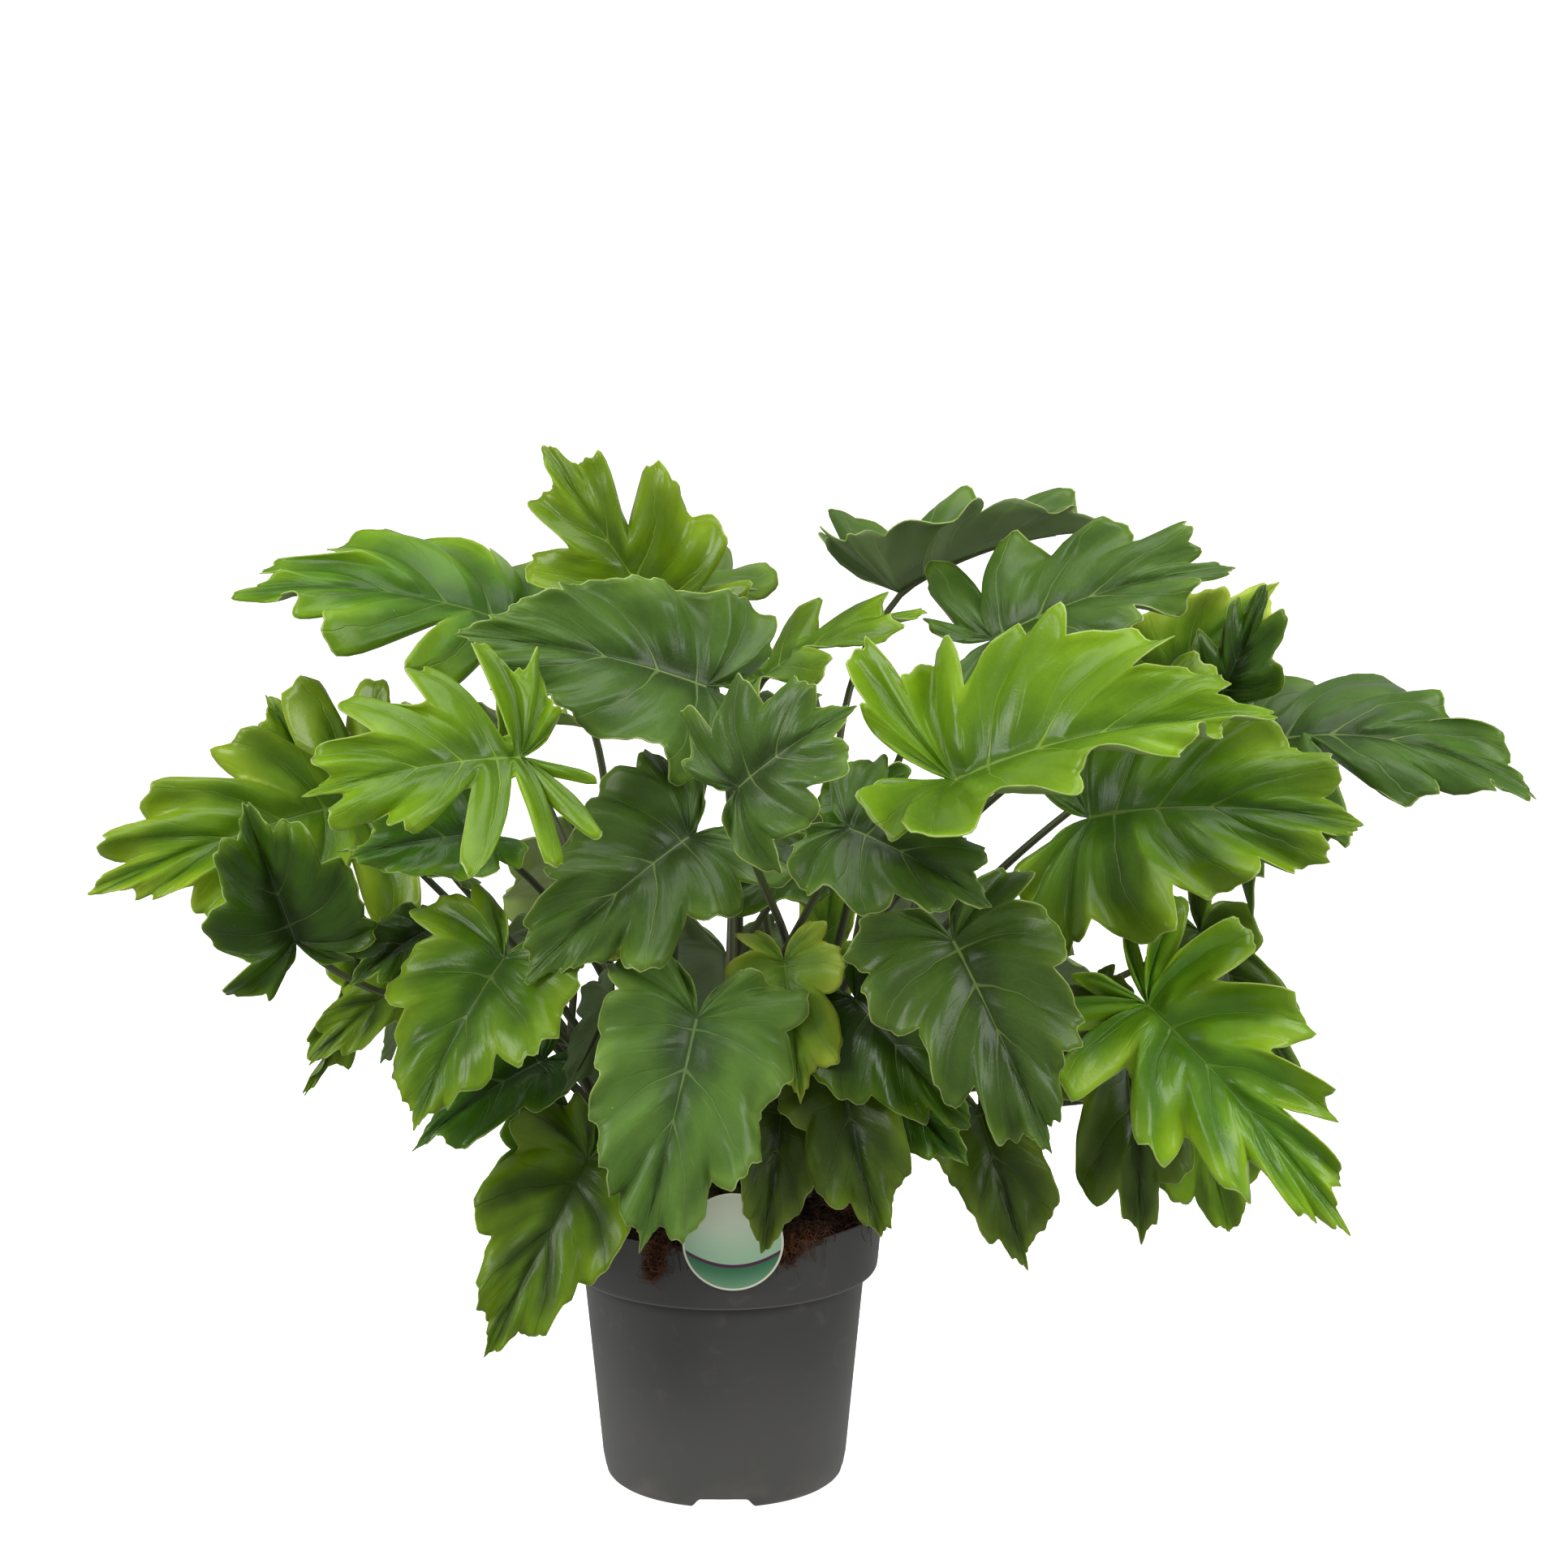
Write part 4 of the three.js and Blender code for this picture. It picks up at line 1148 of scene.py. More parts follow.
@dataclass(frozen=True)
class Pot:
    """The nursery pot, turned in one piece, with a banded rim and four drain notches."""

    height: float = 187.5
    rim_radius: float = 105.3
    lip_radius: float = 101.5
    rim_band: float = 43.5
    body_top: float = 93.2
    foot_radius: float = 79.5
    foot_round: float = 8
    wall: float = 2.2
    floor: float = 4
    raised_floor: float = 11
    raised_from: float = 54
    notch_count: int = 4
    notch_width: float = 38
    notch_height: float = 8
    notch_depth: float = 22
    notch_top: float = 0.84
    notch_foot: float = 1.42

    SIDES = 144
    CUTTER_PAST = 10

    def body_radius(self, z: float) -> float:
        """Gives the wall's outer radius below the rim."""
        return lerp(self.foot_radius, self.body_top, z / (self.height - self.rim_band))

    def profile(self) -> list[tuple[float, float]]:
        """Gives radius and height from the foot's middle, up the outside and down the inside."""
        lip = self.height - self.rim_band
        inner = self.body_radius(self.raised_floor) - self.wall
        corner = []
        for step in range(7):
            angle = math.pi / 2 * step / 6
            out = self.foot_radius - self.foot_round * (1 - math.sin(angle))
            corner.append((out, self.foot_round * (1 - math.cos(angle))))
        return [
            *corner,
            (self.body_radius(2 * self.notch_height), 2 * self.notch_height),
            (self.body_radius(lip * 0.5), lip * 0.5),
            (self.body_radius(lip), lip - 0.6),
            (self.body_radius(lip) + 0.8, lip),
            (self.lip_radius - 2.2, lip),
            (self.lip_radius - 0.8, lip + 0.5),
            (self.lip_radius, lip + 1.8),
            (self.lip_radius + 0.5, lip + 4.5),
            (lerp(self.lip_radius, self.rim_radius, 0.55), lip + 22),
            (self.rim_radius - 0.1, self.height - 2.2),
            (self.rim_radius, self.height - 1.0),
            (self.rim_radius - 0.4, self.height - 0.2),
            (self.rim_radius - 1.1, self.height),
            (self.rim_radius - 1.8, self.height - 0.2),
            (self.rim_radius - self.wall, self.height - 1.2),
            (self.lip_radius - self.wall, lip + 4),
            (self.body_radius(lip) - self.wall, lip + 1),
            (inner, self.raised_floor + 2),
            (inner - 2, self.raised_floor),
            (self.raised_from, self.raised_floor),
            (self.raised_from - 3, self.floor),
        ]

    def build(self) -> None:
        """Models the pot ring by ring, cuts its notches and dresses it."""
        Workbench.clear()
        profile = self.profile()
        radius, height = profile[0]
        bpy.ops.mesh.primitive_circle_add(
            vertices=self.SIDES, radius=radius * MM, fill_type="NGON", location=(0, 0, height * MM)
        )
        pot = bpy.context.object
        pot.name = pot.data.name = "fine_pot"
        bpy.ops.object.transform_apply(location=True, rotation=False, scale=False)
        Workbench.edit(pot)
        for (radius, height), (next_radius, next_height) in zip(profile, profile[1:]):
            bpy.ops.mesh.extrude_region_move(
                TRANSFORM_OT_translate={"value": (0, 0, (next_height - height) * MM)}
            )
            share = next_radius / radius
            bpy.ops.transform.resize(value=(share, share, 1), center_override=(0, 0, next_height * MM))
        bpy.ops.mesh.select_all(action="SELECT")
        bpy.ops.mesh.normals_make_consistent(inside=False)
        bpy.ops.object.mode_set(mode="OBJECT")
        for index in range(self.notch_count):
            self.cut_notch(pot, 360 / self.notch_count * index)
        Workbench.modify(
            pot, "BEVEL", width=0.5 * MM, segments=2, limit_method="ANGLE", angle_limit=math.radians(50)
        )
        bpy.ops.object.shade_smooth_by_angle(angle=math.radians(35))
        pot.data.materials.clear()
        pot.data.materials.append(PotFinish().material(self.height - self.rim_band))
        Workbench.hand_over(pot, "pot", "pot")

    def cut_notch(self, pot: Piece, degrees: float) -> None:
        """Cuts one flared drain notch into the foot, facing that many degrees round from the front."""
        length = self.notch_depth + self.CUTTER_PAST
        reach = self.foot_radius + self.CUTTER_PAST - length / 2
        turn = math.radians(degrees)
        place = (reach * math.sin(turn) * MM, -reach * math.cos(turn) * MM, 0)
        Workbench.clear()
        bpy.ops.mesh.primitive_cube_add(size=MM, location=place, rotation=(0, 0, turn))
        cutter = bpy.context.object
        cutter.scale = (self.notch_width, length, 2 * self.notch_height)
        bpy.ops.object.transform_apply(location=False, rotation=False, scale=True)
        for vertex in cutter.data.vertices:
            down = 0.5 - vertex.co.z / (2 * self.notch_height * MM)
            vertex.co.x *= lerp(self.notch_top, self.notch_foot, down)
        Workbench.modify(cutter, "BEVEL", width=3 * MM, segments=4, limit_method="ANGLE")
        Workbench.modify(pot, "BOOLEAN", object=cutter, operation="DIFFERENCE", solver="EXACT")
        bpy.data.objects.remove(cutter)


@dataclass(frozen=True)
class Soil:
    """The soil that fills the pot, with a lumpy top and crumbs on it."""

    pot: Pot = field(default_factory=Pot)
    lumps: float = 3.5
    gap: float = 0.3
    edge_inset: float = 1.2

    LEVEL = 183.0
    SIDES = 120
    ROWS = 46
    CRUMBS = 420
    CRUMB_INSET = 3

    def height(self, x: float, y: float) -> float:
        """Gives the height of the soil's top, as the solid model has it."""
        bumps = math.sin(x * 0.11 + 1) * math.cos(y * 0.13) + 0.6 * math.sin(x * 0.23 - y * 0.19 + 2)
        return self.LEVEL + self.lumps * bumps

    def edge(self) -> float:
        """Gives the radius of the top."""
        return self.pot.rim_radius - self.pot.wall - self.gap - self.edge_inset

    def build(self) -> None:
        """Models and dresses the soil."""
        finish = SoilFinish()
        peat = self.body()
        peat.data.materials.append(finish.peat_material())
        crumbs = self.crumbs()
        crumbs.data.materials.append(peat.data.materials[0])
        fibres = Coir(self).build()
        fibres.data.materials.append(finish.coir_material())
        soil = Workbench.join(peat, [crumbs, fibres])
        Workbench.hand_over(soil, "soil", "soil")

    def body(self) -> Piece:
        """Models the closed body of the soil with its lumpy top."""
        pot = self.pot
        lip = pot.height - pot.rim_band
        side = [
            (self.edge(), self.LEVEL),
            (pot.lip_radius - pot.wall - self.gap, lip + 4 + self.gap),
            (pot.body_radius(lip) - pot.wall - self.gap, lip + 1 + self.gap),
            (pot.body_radius(pot.raised_floor) - pot.wall - self.gap, pot.raised_floor + self.gap),
            (pot.raised_from - 0.4, pot.raised_floor + self.gap),
            (pot.raised_from - 3.3, pot.floor + self.gap),
            (0.0, pot.floor + self.gap),
        ]
        top_rows = self.ROWS - len(side) + 1

        def lay(u: float, v: float) -> Vector:
            row = round(v * self.ROWS)
            angle = 2 * math.pi * u
            if row < top_rows:
                radius = self.edge() * row / top_rows
                x, y = polar(angle, radius)
                rough = 1.6 * noise.fractal(Vector((x, y, 0)) * 0.09, 0.8, 2.0, 4)
                return Vector((x, y, self.height(x, y) + rough))
            radius, z = side[row - top_rows]
            x, y = polar(angle, radius)
            return Vector((x, y, self.height(x, y) if row == top_rows else z))

        return Workbench.sheet("fine_soil", self.SIDES, self.ROWS, lay, closed=True)

    def crumbs(self) -> Piece:
        """Scatters crumbs of peat over the top."""
        draw = SeededDraw("crumbs")
        made = bmesh.new()
        for _ in range(self.CRUMBS):
            angle = draw.between(0, 2 * math.pi)
            radius = (self.edge() - self.CRUMB_INSET) * math.sqrt(draw.between(0, 1))
            x, y = polar(angle, radius)
            size = draw.between(0.8, 3.2)
            turned = Matrix.Rotation(draw.between(0, 6), 4, Vector((draw.next(), draw.next(), 0.4)))
            shape = Matrix.Diagonal((size, size * draw.between(0.6, 1), size * draw.between(0.4, 0.9), 1))
            place = Matrix.Translation((x, y, self.height(x, y) + 0.3 * size))
            matrix = Matrix.Scale(MM, 4) @ place @ turned @ shape
            bmesh.ops.create_icosphere(made, subdivisions=1, radius=1, matrix=matrix)
        for vertex in made.verts:
            vertex.co += 0.6 * MM * noise.noise_vector(vertex.co * 900)
        return Workbench.gather("crumbs", made)


class Coir:
    """The coir fibres that lie on the soil, hang over the rim and curl in clumps, in one mesh."""

    LYING = 620
    STEPS = 8
    RIM_SHARE = 0.45
    HANGING = 60
    TUFTS = (-110, -106, -112, -55, -62, -68, -30, 20, 70, 130, 200)
    TUFT_SPREAD = 16
    CLUMPED = 900
    CLUMPS = (
        (-52, 0), (-58, 0), (-64, 4), (-71, 0), (-108, 0), (-114, 13), (-115, 20), (-67, 8),
        (-114, 5), (-20, 0), (40, 3), (100, 0), (165, 3),
    )

    def __init__(self, soil: Soil) -> None:
        """Starts the mesh and the draw for the fibres of a soil."""
        self.soil = soil
        self.made = bmesh.new()
        self.draw = SeededDraw("fibres")

    def build(self) -> Piece:
        """Models every fibre."""
        for index in range(self.LYING):
            self.lying(index < self.LYING * self.RIM_SHARE)
        for _ in range(self.HANGING):
            self.hanging()
        for index in range(self.CLUMPED):
            self.clumped(*self.CLUMPS[index % len(self.CLUMPS)])
        return Workbench.gather("fibres", self.made)

    def lying(self, on_rim: bool) -> None:
        """Adds one thin curling fibre that lies on the top, from the rim or from anywhere."""
        soil, draw = self.soil, self.draw
        angle = draw.between(0, 2 * math.pi)
        radius = soil.edge() * (draw.between(0.9, 1.0) if on_rim else math.sqrt(draw.between(0, 0.9)))
        spot = Vector((*polar(angle, radius), 0))
        heading = draw.between(0, 2 * math.pi)
        curl = draw.between(-0.35, 0.35)
        lift = draw.between(0.6, 5.0)
        step_length = draw.between(1.6, 4.0)
        path = []
        for step in range(self.STEPS + 1):
            if spot.length > soil.edge():
                spot = spot.normalized() * soil.edge()
            high = soil.height(spot.x, spot.y) + 0.3 + lift * math.sin(math.pi * step / self.STEPS)
            path.append(Vector((spot.x, spot.y, high)))
            heading += curl + 0.3 * draw.next()
            spot += Vector((*polar(heading), 0)) * step_length
        self.thread(path, draw.between(0.16, 0.38))

    def hanging(self) -> None:
        """Adds one fibre that climbs over the rim and hangs down outside it."""
        soil, draw = self.soil, self.draw
        tuft = self.TUFTS[int(draw.between(0, len(self.TUFTS) - 0.01))]
        angle = math.radians(tuft + self.TUFT_SPREAD * draw.next() * abs(draw.next()))
        drift = 0.02 * draw.next()
        length = draw.between(2, 30) * draw.between(0.3, 1)
        outside = soil.pot.rim_radius + draw.between(0.4, 1.6)
        over = soil.pot.height + draw.between(0.3, 2.2)
        route = (
            (soil.edge() - 6, soil.LEVEL + 2),
            (soil.edge() - 1, over),
            (soil.pot.rim_radius - 1, over + 0.4),
            (outside, over - 1.2),
            (outside, over - 0.35 * length),
            (outside - 0.6, over - 0.7 * length),
            (outside + draw.between(-0.8, 1.5), over - length - 1),
        )
        path = []
        for radius, height in route:
            path.append(Vector((*polar(angle, radius), height)))
            angle += drift * (1 + draw.next())
        self.thread(path, draw.between(0.2, 0.45))

    def clumped(self, degrees: float, hang: float) -> None:
        """Adds one fibre that curls about in a clump on the rim.

        Args:
            degrees: Where the clump lies round the rim.
            hang: How far the clump hangs down outside the rim.
        """
        soil, draw = self.soil, self.draw
        outward = Vector((*polar(math.radians(degrees)), 0))
        along = Vector((-outward.y, outward.x, 0))
        outside = soil.pot.rim_radius + 0.8
        radius = outside if hang else soil.edge() - 4
        middle = outward * radius + Vector((0, 0, soil.pot.height + 1 - hang))
        broad, deep, tall = (5, 1.5, 5) if hang else (11, 7, 4)
        spot = middle + along * broad * draw.next() + outward * deep * draw.next()
        spot.z += tall * draw.next()
        heading = self.any_way().normalized()
        path = []
        for _ in range(self.STEPS):
            level_spot = Vector((spot.x, spot.y, 0))
            if spot.z < soil.pot.height and soil.edge() < level_spot.length < outside:
                spot += level_spot * (outside / level_spot.length - 1)
            path.append(spot.copy())
            heading = (heading + 0.7 * self.any_way()).normalized()
            heading = (heading + 0.05 * (middle - spot)).normalized()
            spot += heading * draw.between(1.2, 3)
            spot.z = max(spot.z, soil.LEVEL - 2 - 2 * hang)
        self.thread(path, draw.between(0.18, 0.42))

    def any_way(self) -> Vector:
        """Draws three numbers for a direction."""
        return Vector((self.draw.next(), self.draw.next(), self.draw.next()))

    def thread(self, path: list[Vector], thick: float) -> None:
        """Adds a square thread that thins along a path."""
        rings = []
        for index, point in enumerate(path):
            tangent = direction(path, index)
            across = tangent.cross(Vector((0.3, 0.2, 1))).normalized()
            upward = across.cross(tangent)
            width = thick * (1 - 0.6 * index / len(path))
            corners = (across, upward, -across, -upward)
            rings.append([self.made.verts.new((point + corner * width) * MM) for corner in corners])
        for first, second in zip(rings, rings[1:]):
            for corner in range(4):
                beside = (corner + 1) % 4
                self.made.faces.new((first[corner], first[beside], second[beside], second[corner]))
        self.made.faces.new(rings[0][::-1])
        self.made.faces.new(rings[-1])


@dataclass(frozen=True)
class PlantLabel:
    """A round card before the rim, hooked over it into the soil."""

    pot: Pot = field(default_factory=Pot)
    radius: float = 32.5
    thickness: float = 1
    x: float = 7
    top: float = 224.5
    hook_width: float = 9
    stake_depth: float = 26
    stake_inset: float = 6
    gap: float = 0.3

    SIDES = 96
    EASED = 0.25

    def build(self) -> None:
        """Models the card, its hook and its stake, and dresses them."""
        finish = LabelFinish()
        back = -self.pot.rim_radius - self.gap
        Workbench.clear()
        bpy.ops.mesh.primitive_cylinder_add(
            vertices=self.SIDES, radius=self.radius * MM, depth=self.thickness * MM,
            location=(self.x * MM, (back - self.thickness / 2) * MM, (self.top - self.radius) * MM),
            rotation=(math.pi / 2, 0, 0),
        )
        card = bpy.context.object
        card.name = card.data.name = "fine_label"
        bpy.ops.object.transform_apply(location=True, rotation=True, scale=True)
        Workbench.modify(card, "BEVEL", width=self.EASED * MM, segments=3, limit_method="ANGLE")
        bpy.ops.object.shade_smooth_by_angle(angle=math.radians(40))
        card.data.materials.append(finish.card(self))
        stake_y = -self.pot.rim_radius + self.pot.wall + self.stake_inset
        high = self.pot.height + self.gap + self.thickness
        low = Soil.LEVEL - self.stake_depth
        bridge_length = stake_y - back + self.thickness
        bridge = self.bar(
            (self.hook_width, bridge_length, self.thickness),
            (self.x, back - self.thickness / 2 + bridge_length / 2, high - self.thickness / 2),
        )
        stake = self.bar(
            (self.hook_width, self.thickness, high - low), (self.x, stake_y, (high + low) / 2)
        )
        for bar in (bridge, stake):
            bar.data.materials.append(finish.clip())
        label = Workbench.join(card, [bridge, stake])
        Workbench.hand_over(label, "plant_label", "plant_label")

    def bar(self, size: Point, middle: Point) -> Piece:
        """Adds one flat bar with eased edges."""
        Workbench.clear()
        bpy.ops.mesh.primitive_cube_add(size=1, location=[value * MM for value in middle])
        bar = bpy.context.object
        bar.scale = [value * MM for value in size]
        bpy.ops.object.transform_apply(location=True, rotation=False, scale=True)
        Workbench.modify(bar, "BEVEL", width=self.EASED * MM, segments=2, limit_method="ANGLE")
        return bar


@dataclass(frozen=True)
class Studio:
    """A pale floor, soft lights and the camera at the photograph's angle."""

    camera_place: Point = (0.0397, -3.2, 1.160)
    camera_down: float = 12.18
    lens: float = 115.7
    floor_size: float = 60
    ambient: float = 0.48
    aim_height: float = 0.35

    def build(self) -> None:
        """Sets up floor, light and camera."""
        self.floor()
        world = bpy.data.worlds.new("studio")
        bpy.context.scene.world = world
        world.use_nodes = True
        background = world.node_tree.nodes["Background"]
        background.inputs["Color"].default_value = (1, 1, 1, 1)
        background.inputs["Strength"].default_value = self.ambient
        self.soft_box("left", (-2.4, -1.6, 1.9), size=1.5, power=60)
        self.soft_box("right", (2.4, -1.2, 1.7), size=1.5, power=46)
        self.soft_box("top", (0.1, -0.3, 2.7), size=1.8, power=32)
        camera = bpy.data.cameras.new("camera")
        camera.lens = self.lens
        camera.clip_end = 100
        holder = bpy.data.objects.new("camera", camera)
        holder.location = self.camera_place
        holder.rotation_euler = (math.radians(90 - self.camera_down), 0, 0)
        bpy.context.scene.collection.objects.link(holder)
        bpy.context.scene.camera = holder
        bpy.context.scene.view_settings.view_transform = "Standard"

    def floor(self) -> None:
        """Adds the white floor, which shines like a lit sweep but throws no light on the plant."""
        Workbench.clear()
        bpy.ops.mesh.primitive_plane_add(size=self.floor_size)
        floor = bpy.context.object
        floor.name = "floor"
        recipe = Recipe("floor_white", 0.9, 0.1)
        recipe.surface.inputs["Emission Color"].default_value = (1, 1, 1, 1)
        recipe.surface.inputs["Emission Strength"].default_value = 1.0
        floor.data.materials.append(recipe.finish((0.8, 0.8, 0.8, 1)))
        floor.visible_diffuse = False
        floor.visible_glossy = False
        floor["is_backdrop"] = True

    def soft_box(self, name: str, place: Point, size: float, power: float) -> None:
        """Adds a square soft light that looks at the plant."""
        light = bpy.data.lights.new(name, "AREA")
        light.size = size
        light.energy = power
        holder = bpy.data.objects.new(name, light)
        holder.location = place
        aim = Vector((0, 0, self.aim_height)) - Vector(place)
        holder.rotation_euler = aim.to_track_quat("-Z", "Y").to_euler()
        bpy.context.scene.collection.objects.link(holder)


# Leaves of each stem, from the lowest petiole to the highest
CENTRE_LEAVES = (
    LeafForm(
        "pot_front", (38, -128, 285), (25, -150, 200), (0.1, -1, 0.2),
        wide=0.75, cut=0.12, look=Look.OLIVE,
    ),
    LeafForm(
        "under_folded", (105, -115, 300), (155, -145, 255), (0, -1, 0.3),
        wide=0.8, tone=Tone.DARK, look=Look.DEEP,
    ),
    LeafForm(
        "pot_right", (75, -132, 310), (100, -165, 215), (-0.1, -1, 0.2),
        wide=0.8, cut=0.12, swing=15, look=Look.OLIVE,
    ),
    LeafForm("back_low", (0, 140, 320), (5, 180, 210), (0, 0.9, 0.4), wide=0.95, tone=Tone.DARK),
    LeafForm(
        "front_centre", (-15, -165, 355), (-50, -200, 215), (0.1, -1, 0.3),
        cut=0.16, lobes=6, look=Look.SOFT,
    ),
    LeafForm(
        "yellow_middle", (65, -20, 355), (75, -20, 430), (0, -0.8, 0.6),
        wide=0.7, swing=50, rise=0.5, tone=Tone.YELLOW,
    ),
    LeafForm(
        "folded_centre", (85, -135, 360), (155, -175, 290), (-0.3, -0.9, 0.4),
        wide=1.05, cut=0.2, lobes=5, swing=-30, tone=Tone.DARK, look=Look.DEEP,
    ),
    LeafForm("yellow_front", (40, -140, 385), (50, -160, 300), (0, -1, 0.2), tone=Tone.YELLOW),
    LeafForm(
        "front_right", (145, -165, 405), (205, -200, 280), (0.1, -1, 0.3),
        cut=0.22, lobes=6, swing=-20, tone=Tone.DARK,
    ),
    LeafForm(
        "edge_middle", (55, -70, 425), (-20, -90, 410), (0, -0.6, 0.8),
        wide=0.8, swing=-20, lean=1.3, tone=Tone.DARK, look=Look.DEEP,
    ),
    LeafForm(
        "dark_middle", (-20, -130, 463), (-120, -175, 383), (0, -0.8, 0.6),
        wide=0.94, cut=0.22, lobes=6, swing=-30, rise=0.57, lean=0.5, tone=Tone.DARK,
    ),
    LeafForm(
        "behind_lobed", (95, -70, 475), (95, -90, 395), (0, -1, 0.2),
        swing=-10, rise=0.57, lean=0.2, tone=Tone.DARK, look=Look.DEEP,
    ),
    LeafForm(
        "lobed_middle", (80, -180, 480), (165, -215, 440), (0, -0.8, 0.6),
        wide=1, lobes=5, swing=10, lean=0.5, tone=Tone.DARK,
    ),
    LeafForm("back_centre", (10, 170, 480), (15, 290, 420), (0, 0.7, 0.7), wide=1, tone=Tone.DARK),
    LeafForm(
        "glossy_middle", (13, -262, 524), (82, -277, 576), (0.2, -0.7, 0.6),
        wide=1.3, lobes=5, swing=55, rise=0.33, lean=0.5, tone=Tone.DARK,
    ),
    LeafForm(
        "fingered", (-121, -196, 528), (-249, -241, 514), (0, -0.8, 0.6),
        wide=1.15, cut=0.55, lobes=7, tone=Tone.BRIGHT,
    ),
    LeafForm(
        "top_narrow", (25, 20, 535), (130, 10, 580), (-0.3, -0.3, 1),
        wide=0.8, cut=0.45, lobes=5, lean=0.5, tone=Tone.BRIGHT,
    ),
    LeafForm(
        "top_middle", (-10, -88, 551), (-161, -128, 591), (-0.1, -0.8, 0.6),
        wide=0.85, cut=0.15, lobes=6, tone=Tone.DARK,
    ),
    LeafForm("back_top", (-20, 120, 575), (-45, 235, 585), (0, 0.3, 1)),
    LeafForm(
        "crest", (-40, 4, 580), (-115, 32, 685), (-0.3, -0.8, 0.5),
        wide=1.1, cut=0.44, lobes=6, wave=0.06, tone=Tone.BRIGHT,
    ),
)

LEFT_LEAVES = (
    LeafForm(
        "low_left", (-85, -120, 250), (-150, -150, 132), (-0.1, -1, 0.1),
        wide=0.75, cut=0.15, lobes=5, swing=60, rise=0.57, lean=1.3, look=Look.VEINED,
    ),
    LeafForm(
        "low_left_behind", (-100, -70, 250), (-145, -95, 175), (0, -1, 0.1),
        wide=1, cut=0.2, swing=-30, look=Look.DEEP,
    ),
    LeafForm(
        "under_left", (-115, -100, 310), (-195, -130, 260), (-0.2, -0.7, 0.6),
        wide=0.75, cut=0.15, look=Look.DEEP,
    ),
    LeafForm("back_low_left", (-160, 80, 340), (-235, 120, 250), (-0.5, 0.7, 0.5), lean=0.5),
    LeafForm(
        "small_left", (-205, -50, 350), (-265, -70, 300), (0, -0.8, 0.6),
        wide=0.7, swing=-15, lean=0.5, look=Look.VEINED,
    ),
    LeafForm("grey_under", (-70, -115, 355), (-100, -140, 300), (0.5, 0.7, 0), wide=0.8, tone=Tone.DARK),
    LeafForm(
        "twisted_left", (-235, -25, 365), (-270, -50, 275), (0.7, -0.7, 0),
        wide=0.5, swing=-15, look=Look.VEINED,
    ),
    LeafForm(
        "left_point", (-100, -30, 370), (-50, -40, 370), (0, -0.8, 0.6),
        wide=0.7, rise=0.82, lean=0.2, tone=Tone.YELLOW,
    ),
    LeafForm(
        "back_mid_left", (-90, 170, 380), (-140, 240, 290), (-0.3, 0.8, 0.5),
        wide=1, tone=Tone.YELLOW,
    ),
    LeafForm(
        "front_left", (-135, -150, 390), (-190, -185, 290), (-0.3, -0.8, 0.5),
        wide=1.1, cut=0.2, lobes=5, swing=30, rise=0.33, lean=0.5, look=Look.EDGED,
    ),
    LeafForm(
        "curled_left", (-190, -80, 390), (-235, -100, 360), (-0.2, -0.8, 0.5),
        swing=-15, tone=Tone.DARK, look=Look.DEEP,
    ),
    LeafForm(
        "dark_left", (-270, -100, 390), (-300, -110, 480), (0.1, -1, 0.3),
        wide=1.15, lobes=5, fold=28, swing=60, lean=0.5, tone=Tone.DARK, look=Look.DEEP,
    ),
    LeafForm(
        "flat_left", (-170, -100, 435), (-240, -110, 450), (0, -0.3, 1),
        wide=0.8, swing=30, lean=0.5,
    ),
    LeafForm(
        "far_left", (-240, 0, 457), (-405, -55, 410), (0.05, -0.85, 0.55),
        lobes=7, swing=-5, lean=0.5, tone=Tone.BRIGHT, look=Look.STREAKED,
    ),
    LeafForm(
        "far_left_behind", (-265, 30, 465), (-300, 40, 520), (0, -0.9, 0.4),
        swing=-45, rise=0.2, lean=0.2, tone=Tone.BRIGHT, look=Look.STREAKED,
    ),
    LeafForm(
        "under_fingered", (-150, -130, 465), (-230, -150, 455), (0, -0.8, 0.6),
        swing=45, tone=Tone.DARK, look=Look.DEEP,
    ),
    LeafForm("back_left", (-150, 130, 480), (-250, 210, 440), (-0.3, 0.5, 0.8), wide=1, tone=Tone.BRIGHT),
    LeafForm(
        "top_left", (-130, 10, 570), (-310, -10, 598), (0, -0.4, 0.9),
        wide=1.15, cut=0.45, lobes=7, droop=0.6, ears=32, swing=15, tone=Tone.BRIGHT, look=Look.EDGED,
    ),
)

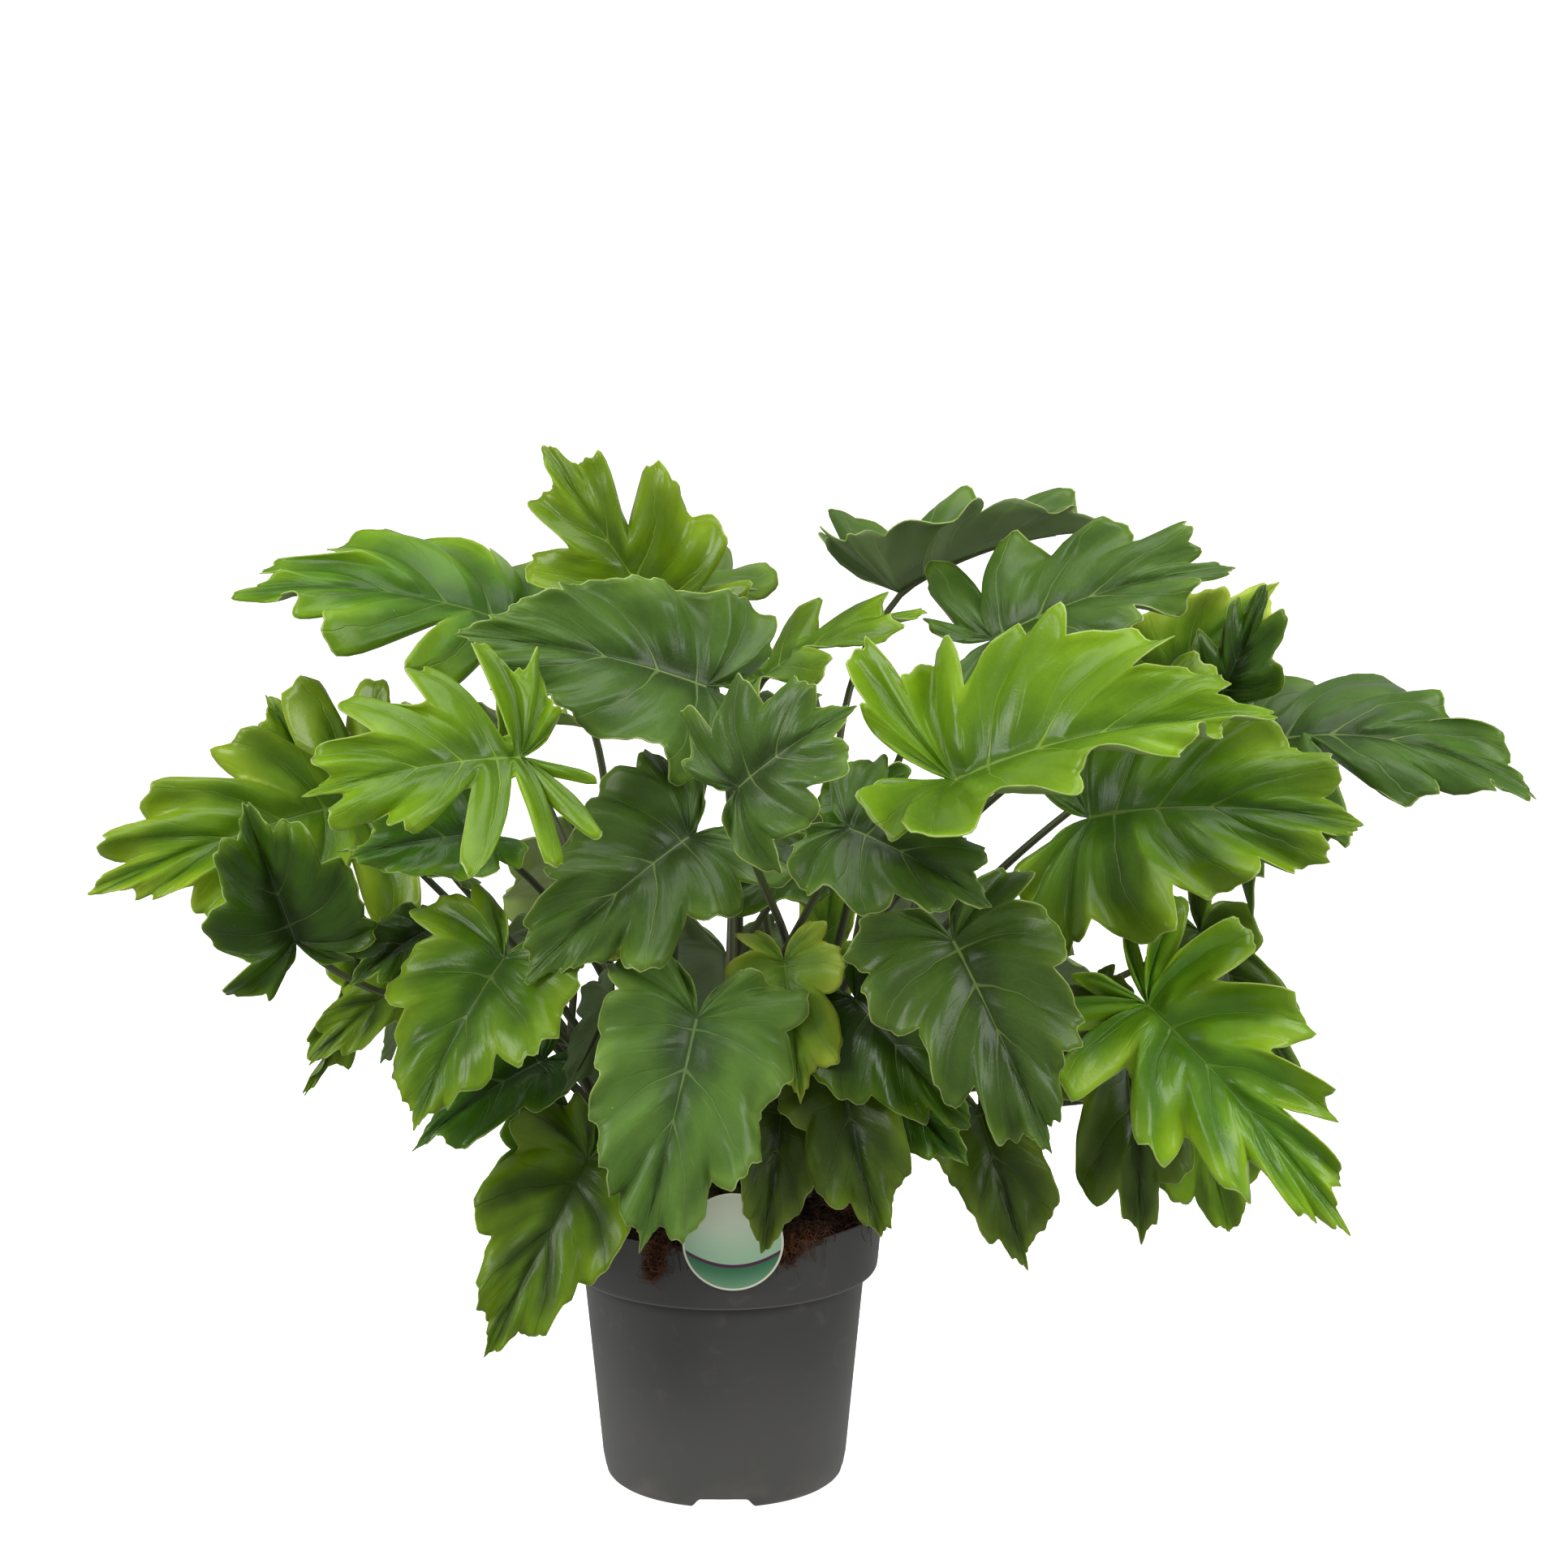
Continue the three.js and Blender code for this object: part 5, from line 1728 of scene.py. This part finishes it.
RIGHT_LEAVES = (
    LeafForm(
        "hanging_right", (165, -95, 275), (195, -125, 180), (0, -1, 0.2),
        wide=0.75, cut=0.12, tone=Tone.DARK, look=Look.OLIVE,
    ),
    LeafForm(
        "low_right_outer", (300, -20, 285), (330, -40, 180), (0.1, -1, 0.1),
        cut=0.2, tone=Tone.BRIGHT,
    ),
    LeafForm(
        "low_right_inner", (260, -55, 305), (270, -85, 185), (0.1, -1, 0.2),
        cut=0.35, swing=15, look=Look.OLIVE,
    ),
    LeafForm(
        "between_right", (240, -70, 345), (265, -80, 295), (0, -1, 0.2),
        tone=Tone.DARK, look=Look.OLIVE,
    ),
    LeafForm(
        "low_right", (270, -110, 350), (395, -160, 215), (0.2, -1, 0.4),
        wide=0.8, cut=0.45, lobes=7, swing=-45, tone=Tone.BRIGHT, look=Look.STREAKED,
    ),
    LeafForm("back_low_right", (170, 100, 350), (240, 150, 260), (0.5, 0.7, 0.5), swing=-15),
    LeafForm(
        "behind_right", (310, -20, 375), (375, -30, 280), (0, -1, 0.2),
        wide=0.6, tone=Tone.DARK, look=Look.OLIVE,
    ),
    LeafForm("back_mid_right", (100, 170, 390), (145, 250, 300), (0.3, 0.8, 0.5), wide=1),
    LeafForm(
        "big_right", (235, -60, 460), (400, -120, 470), (0, -0.8, 0.6),
        wide=1.2, cut=0.2, lobes=7, arch=50, swing=-60, lean=0.5, look=Look.EDGED,
    ),
    LeafForm(
        "back_right", (160, 140, 490), (260, 220, 450), (0.3, 0.5, 0.8),
        wide=1, lean=0.2, tone=Tone.BRIGHT,
    ),
    LeafForm(
        "far_right", (345, 0, 495), (520, -40, 470), (0, -0.45, 0.9),
        wide=1.1, cut=0.55, lobes=7, arch=60, droop=1.0, tone=Tone.DARK,
    ),
    LeafForm(
        "bright_right", (145, -180, 510), (335, -210, 555), (0, -0.5, 0.87),
        wide=1, cut=0.33, lobes=7, fold=28, droop=0.15, ears=40, swing=-45, rise=0.2, lean=0.5,
        tone=Tone.BRIGHT,
    ),
    LeafForm(
        "dark_fingers", (320, -10, 525), (350, 0, 600), (0, -1, 0.2),
        cut=0.4, lobes=5, tone=Tone.DARK, look=Look.DEEP,
    ),
    LeafForm(
        "yellow_right", (286, 78, 523), (366, 78, 588), (0, -1, 0.2),
        swing=60, rise=0.33, lean=1, tone=Tone.YELLOW,
    ),
    LeafForm(
        "dark_top_right", (175, -12, 567), (325, -32, 617), (-0.2, -0.6, 0.8),
        cut=0.35, lobes=6, swing=20, tone=Tone.DARK,
    ),
    LeafForm(
        "top_right", (115, 60, 585), (255, 60, 625), (0, 0.1, 1),
        wide=0.8, lobes=5, fold=38, droop=0, ears=50, swing=-60, tone=Tone.DARK,
    ),
)

STEMS = (
    Stem("centre", 0, 5, 19, 300, CENTRE_LEAVES),
    Stem("left", -46, 12, 14, 258, LEFT_LEAVES),
    Stem("right", 44, 16, 14, 262, RIGHT_LEAVES),
)


def corners() -> list[list[float]]:
    """Gives the lowest and highest corner of what is shown."""
    return [list(corner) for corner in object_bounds()]


def main() -> None:
    """Loads the frame and builds every piece and the studio."""
    logging.basicConfig(level=logging.INFO, format="%(message)s")
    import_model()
    Pot().build()
    Soil().build()
    PlantLabel().build()
    for stem in STEMS:
        stem.build()
    for stem in STEMS:
        stem.build_leaves()
    Studio().build()
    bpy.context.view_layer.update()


if __name__ == "__main__":
    main()
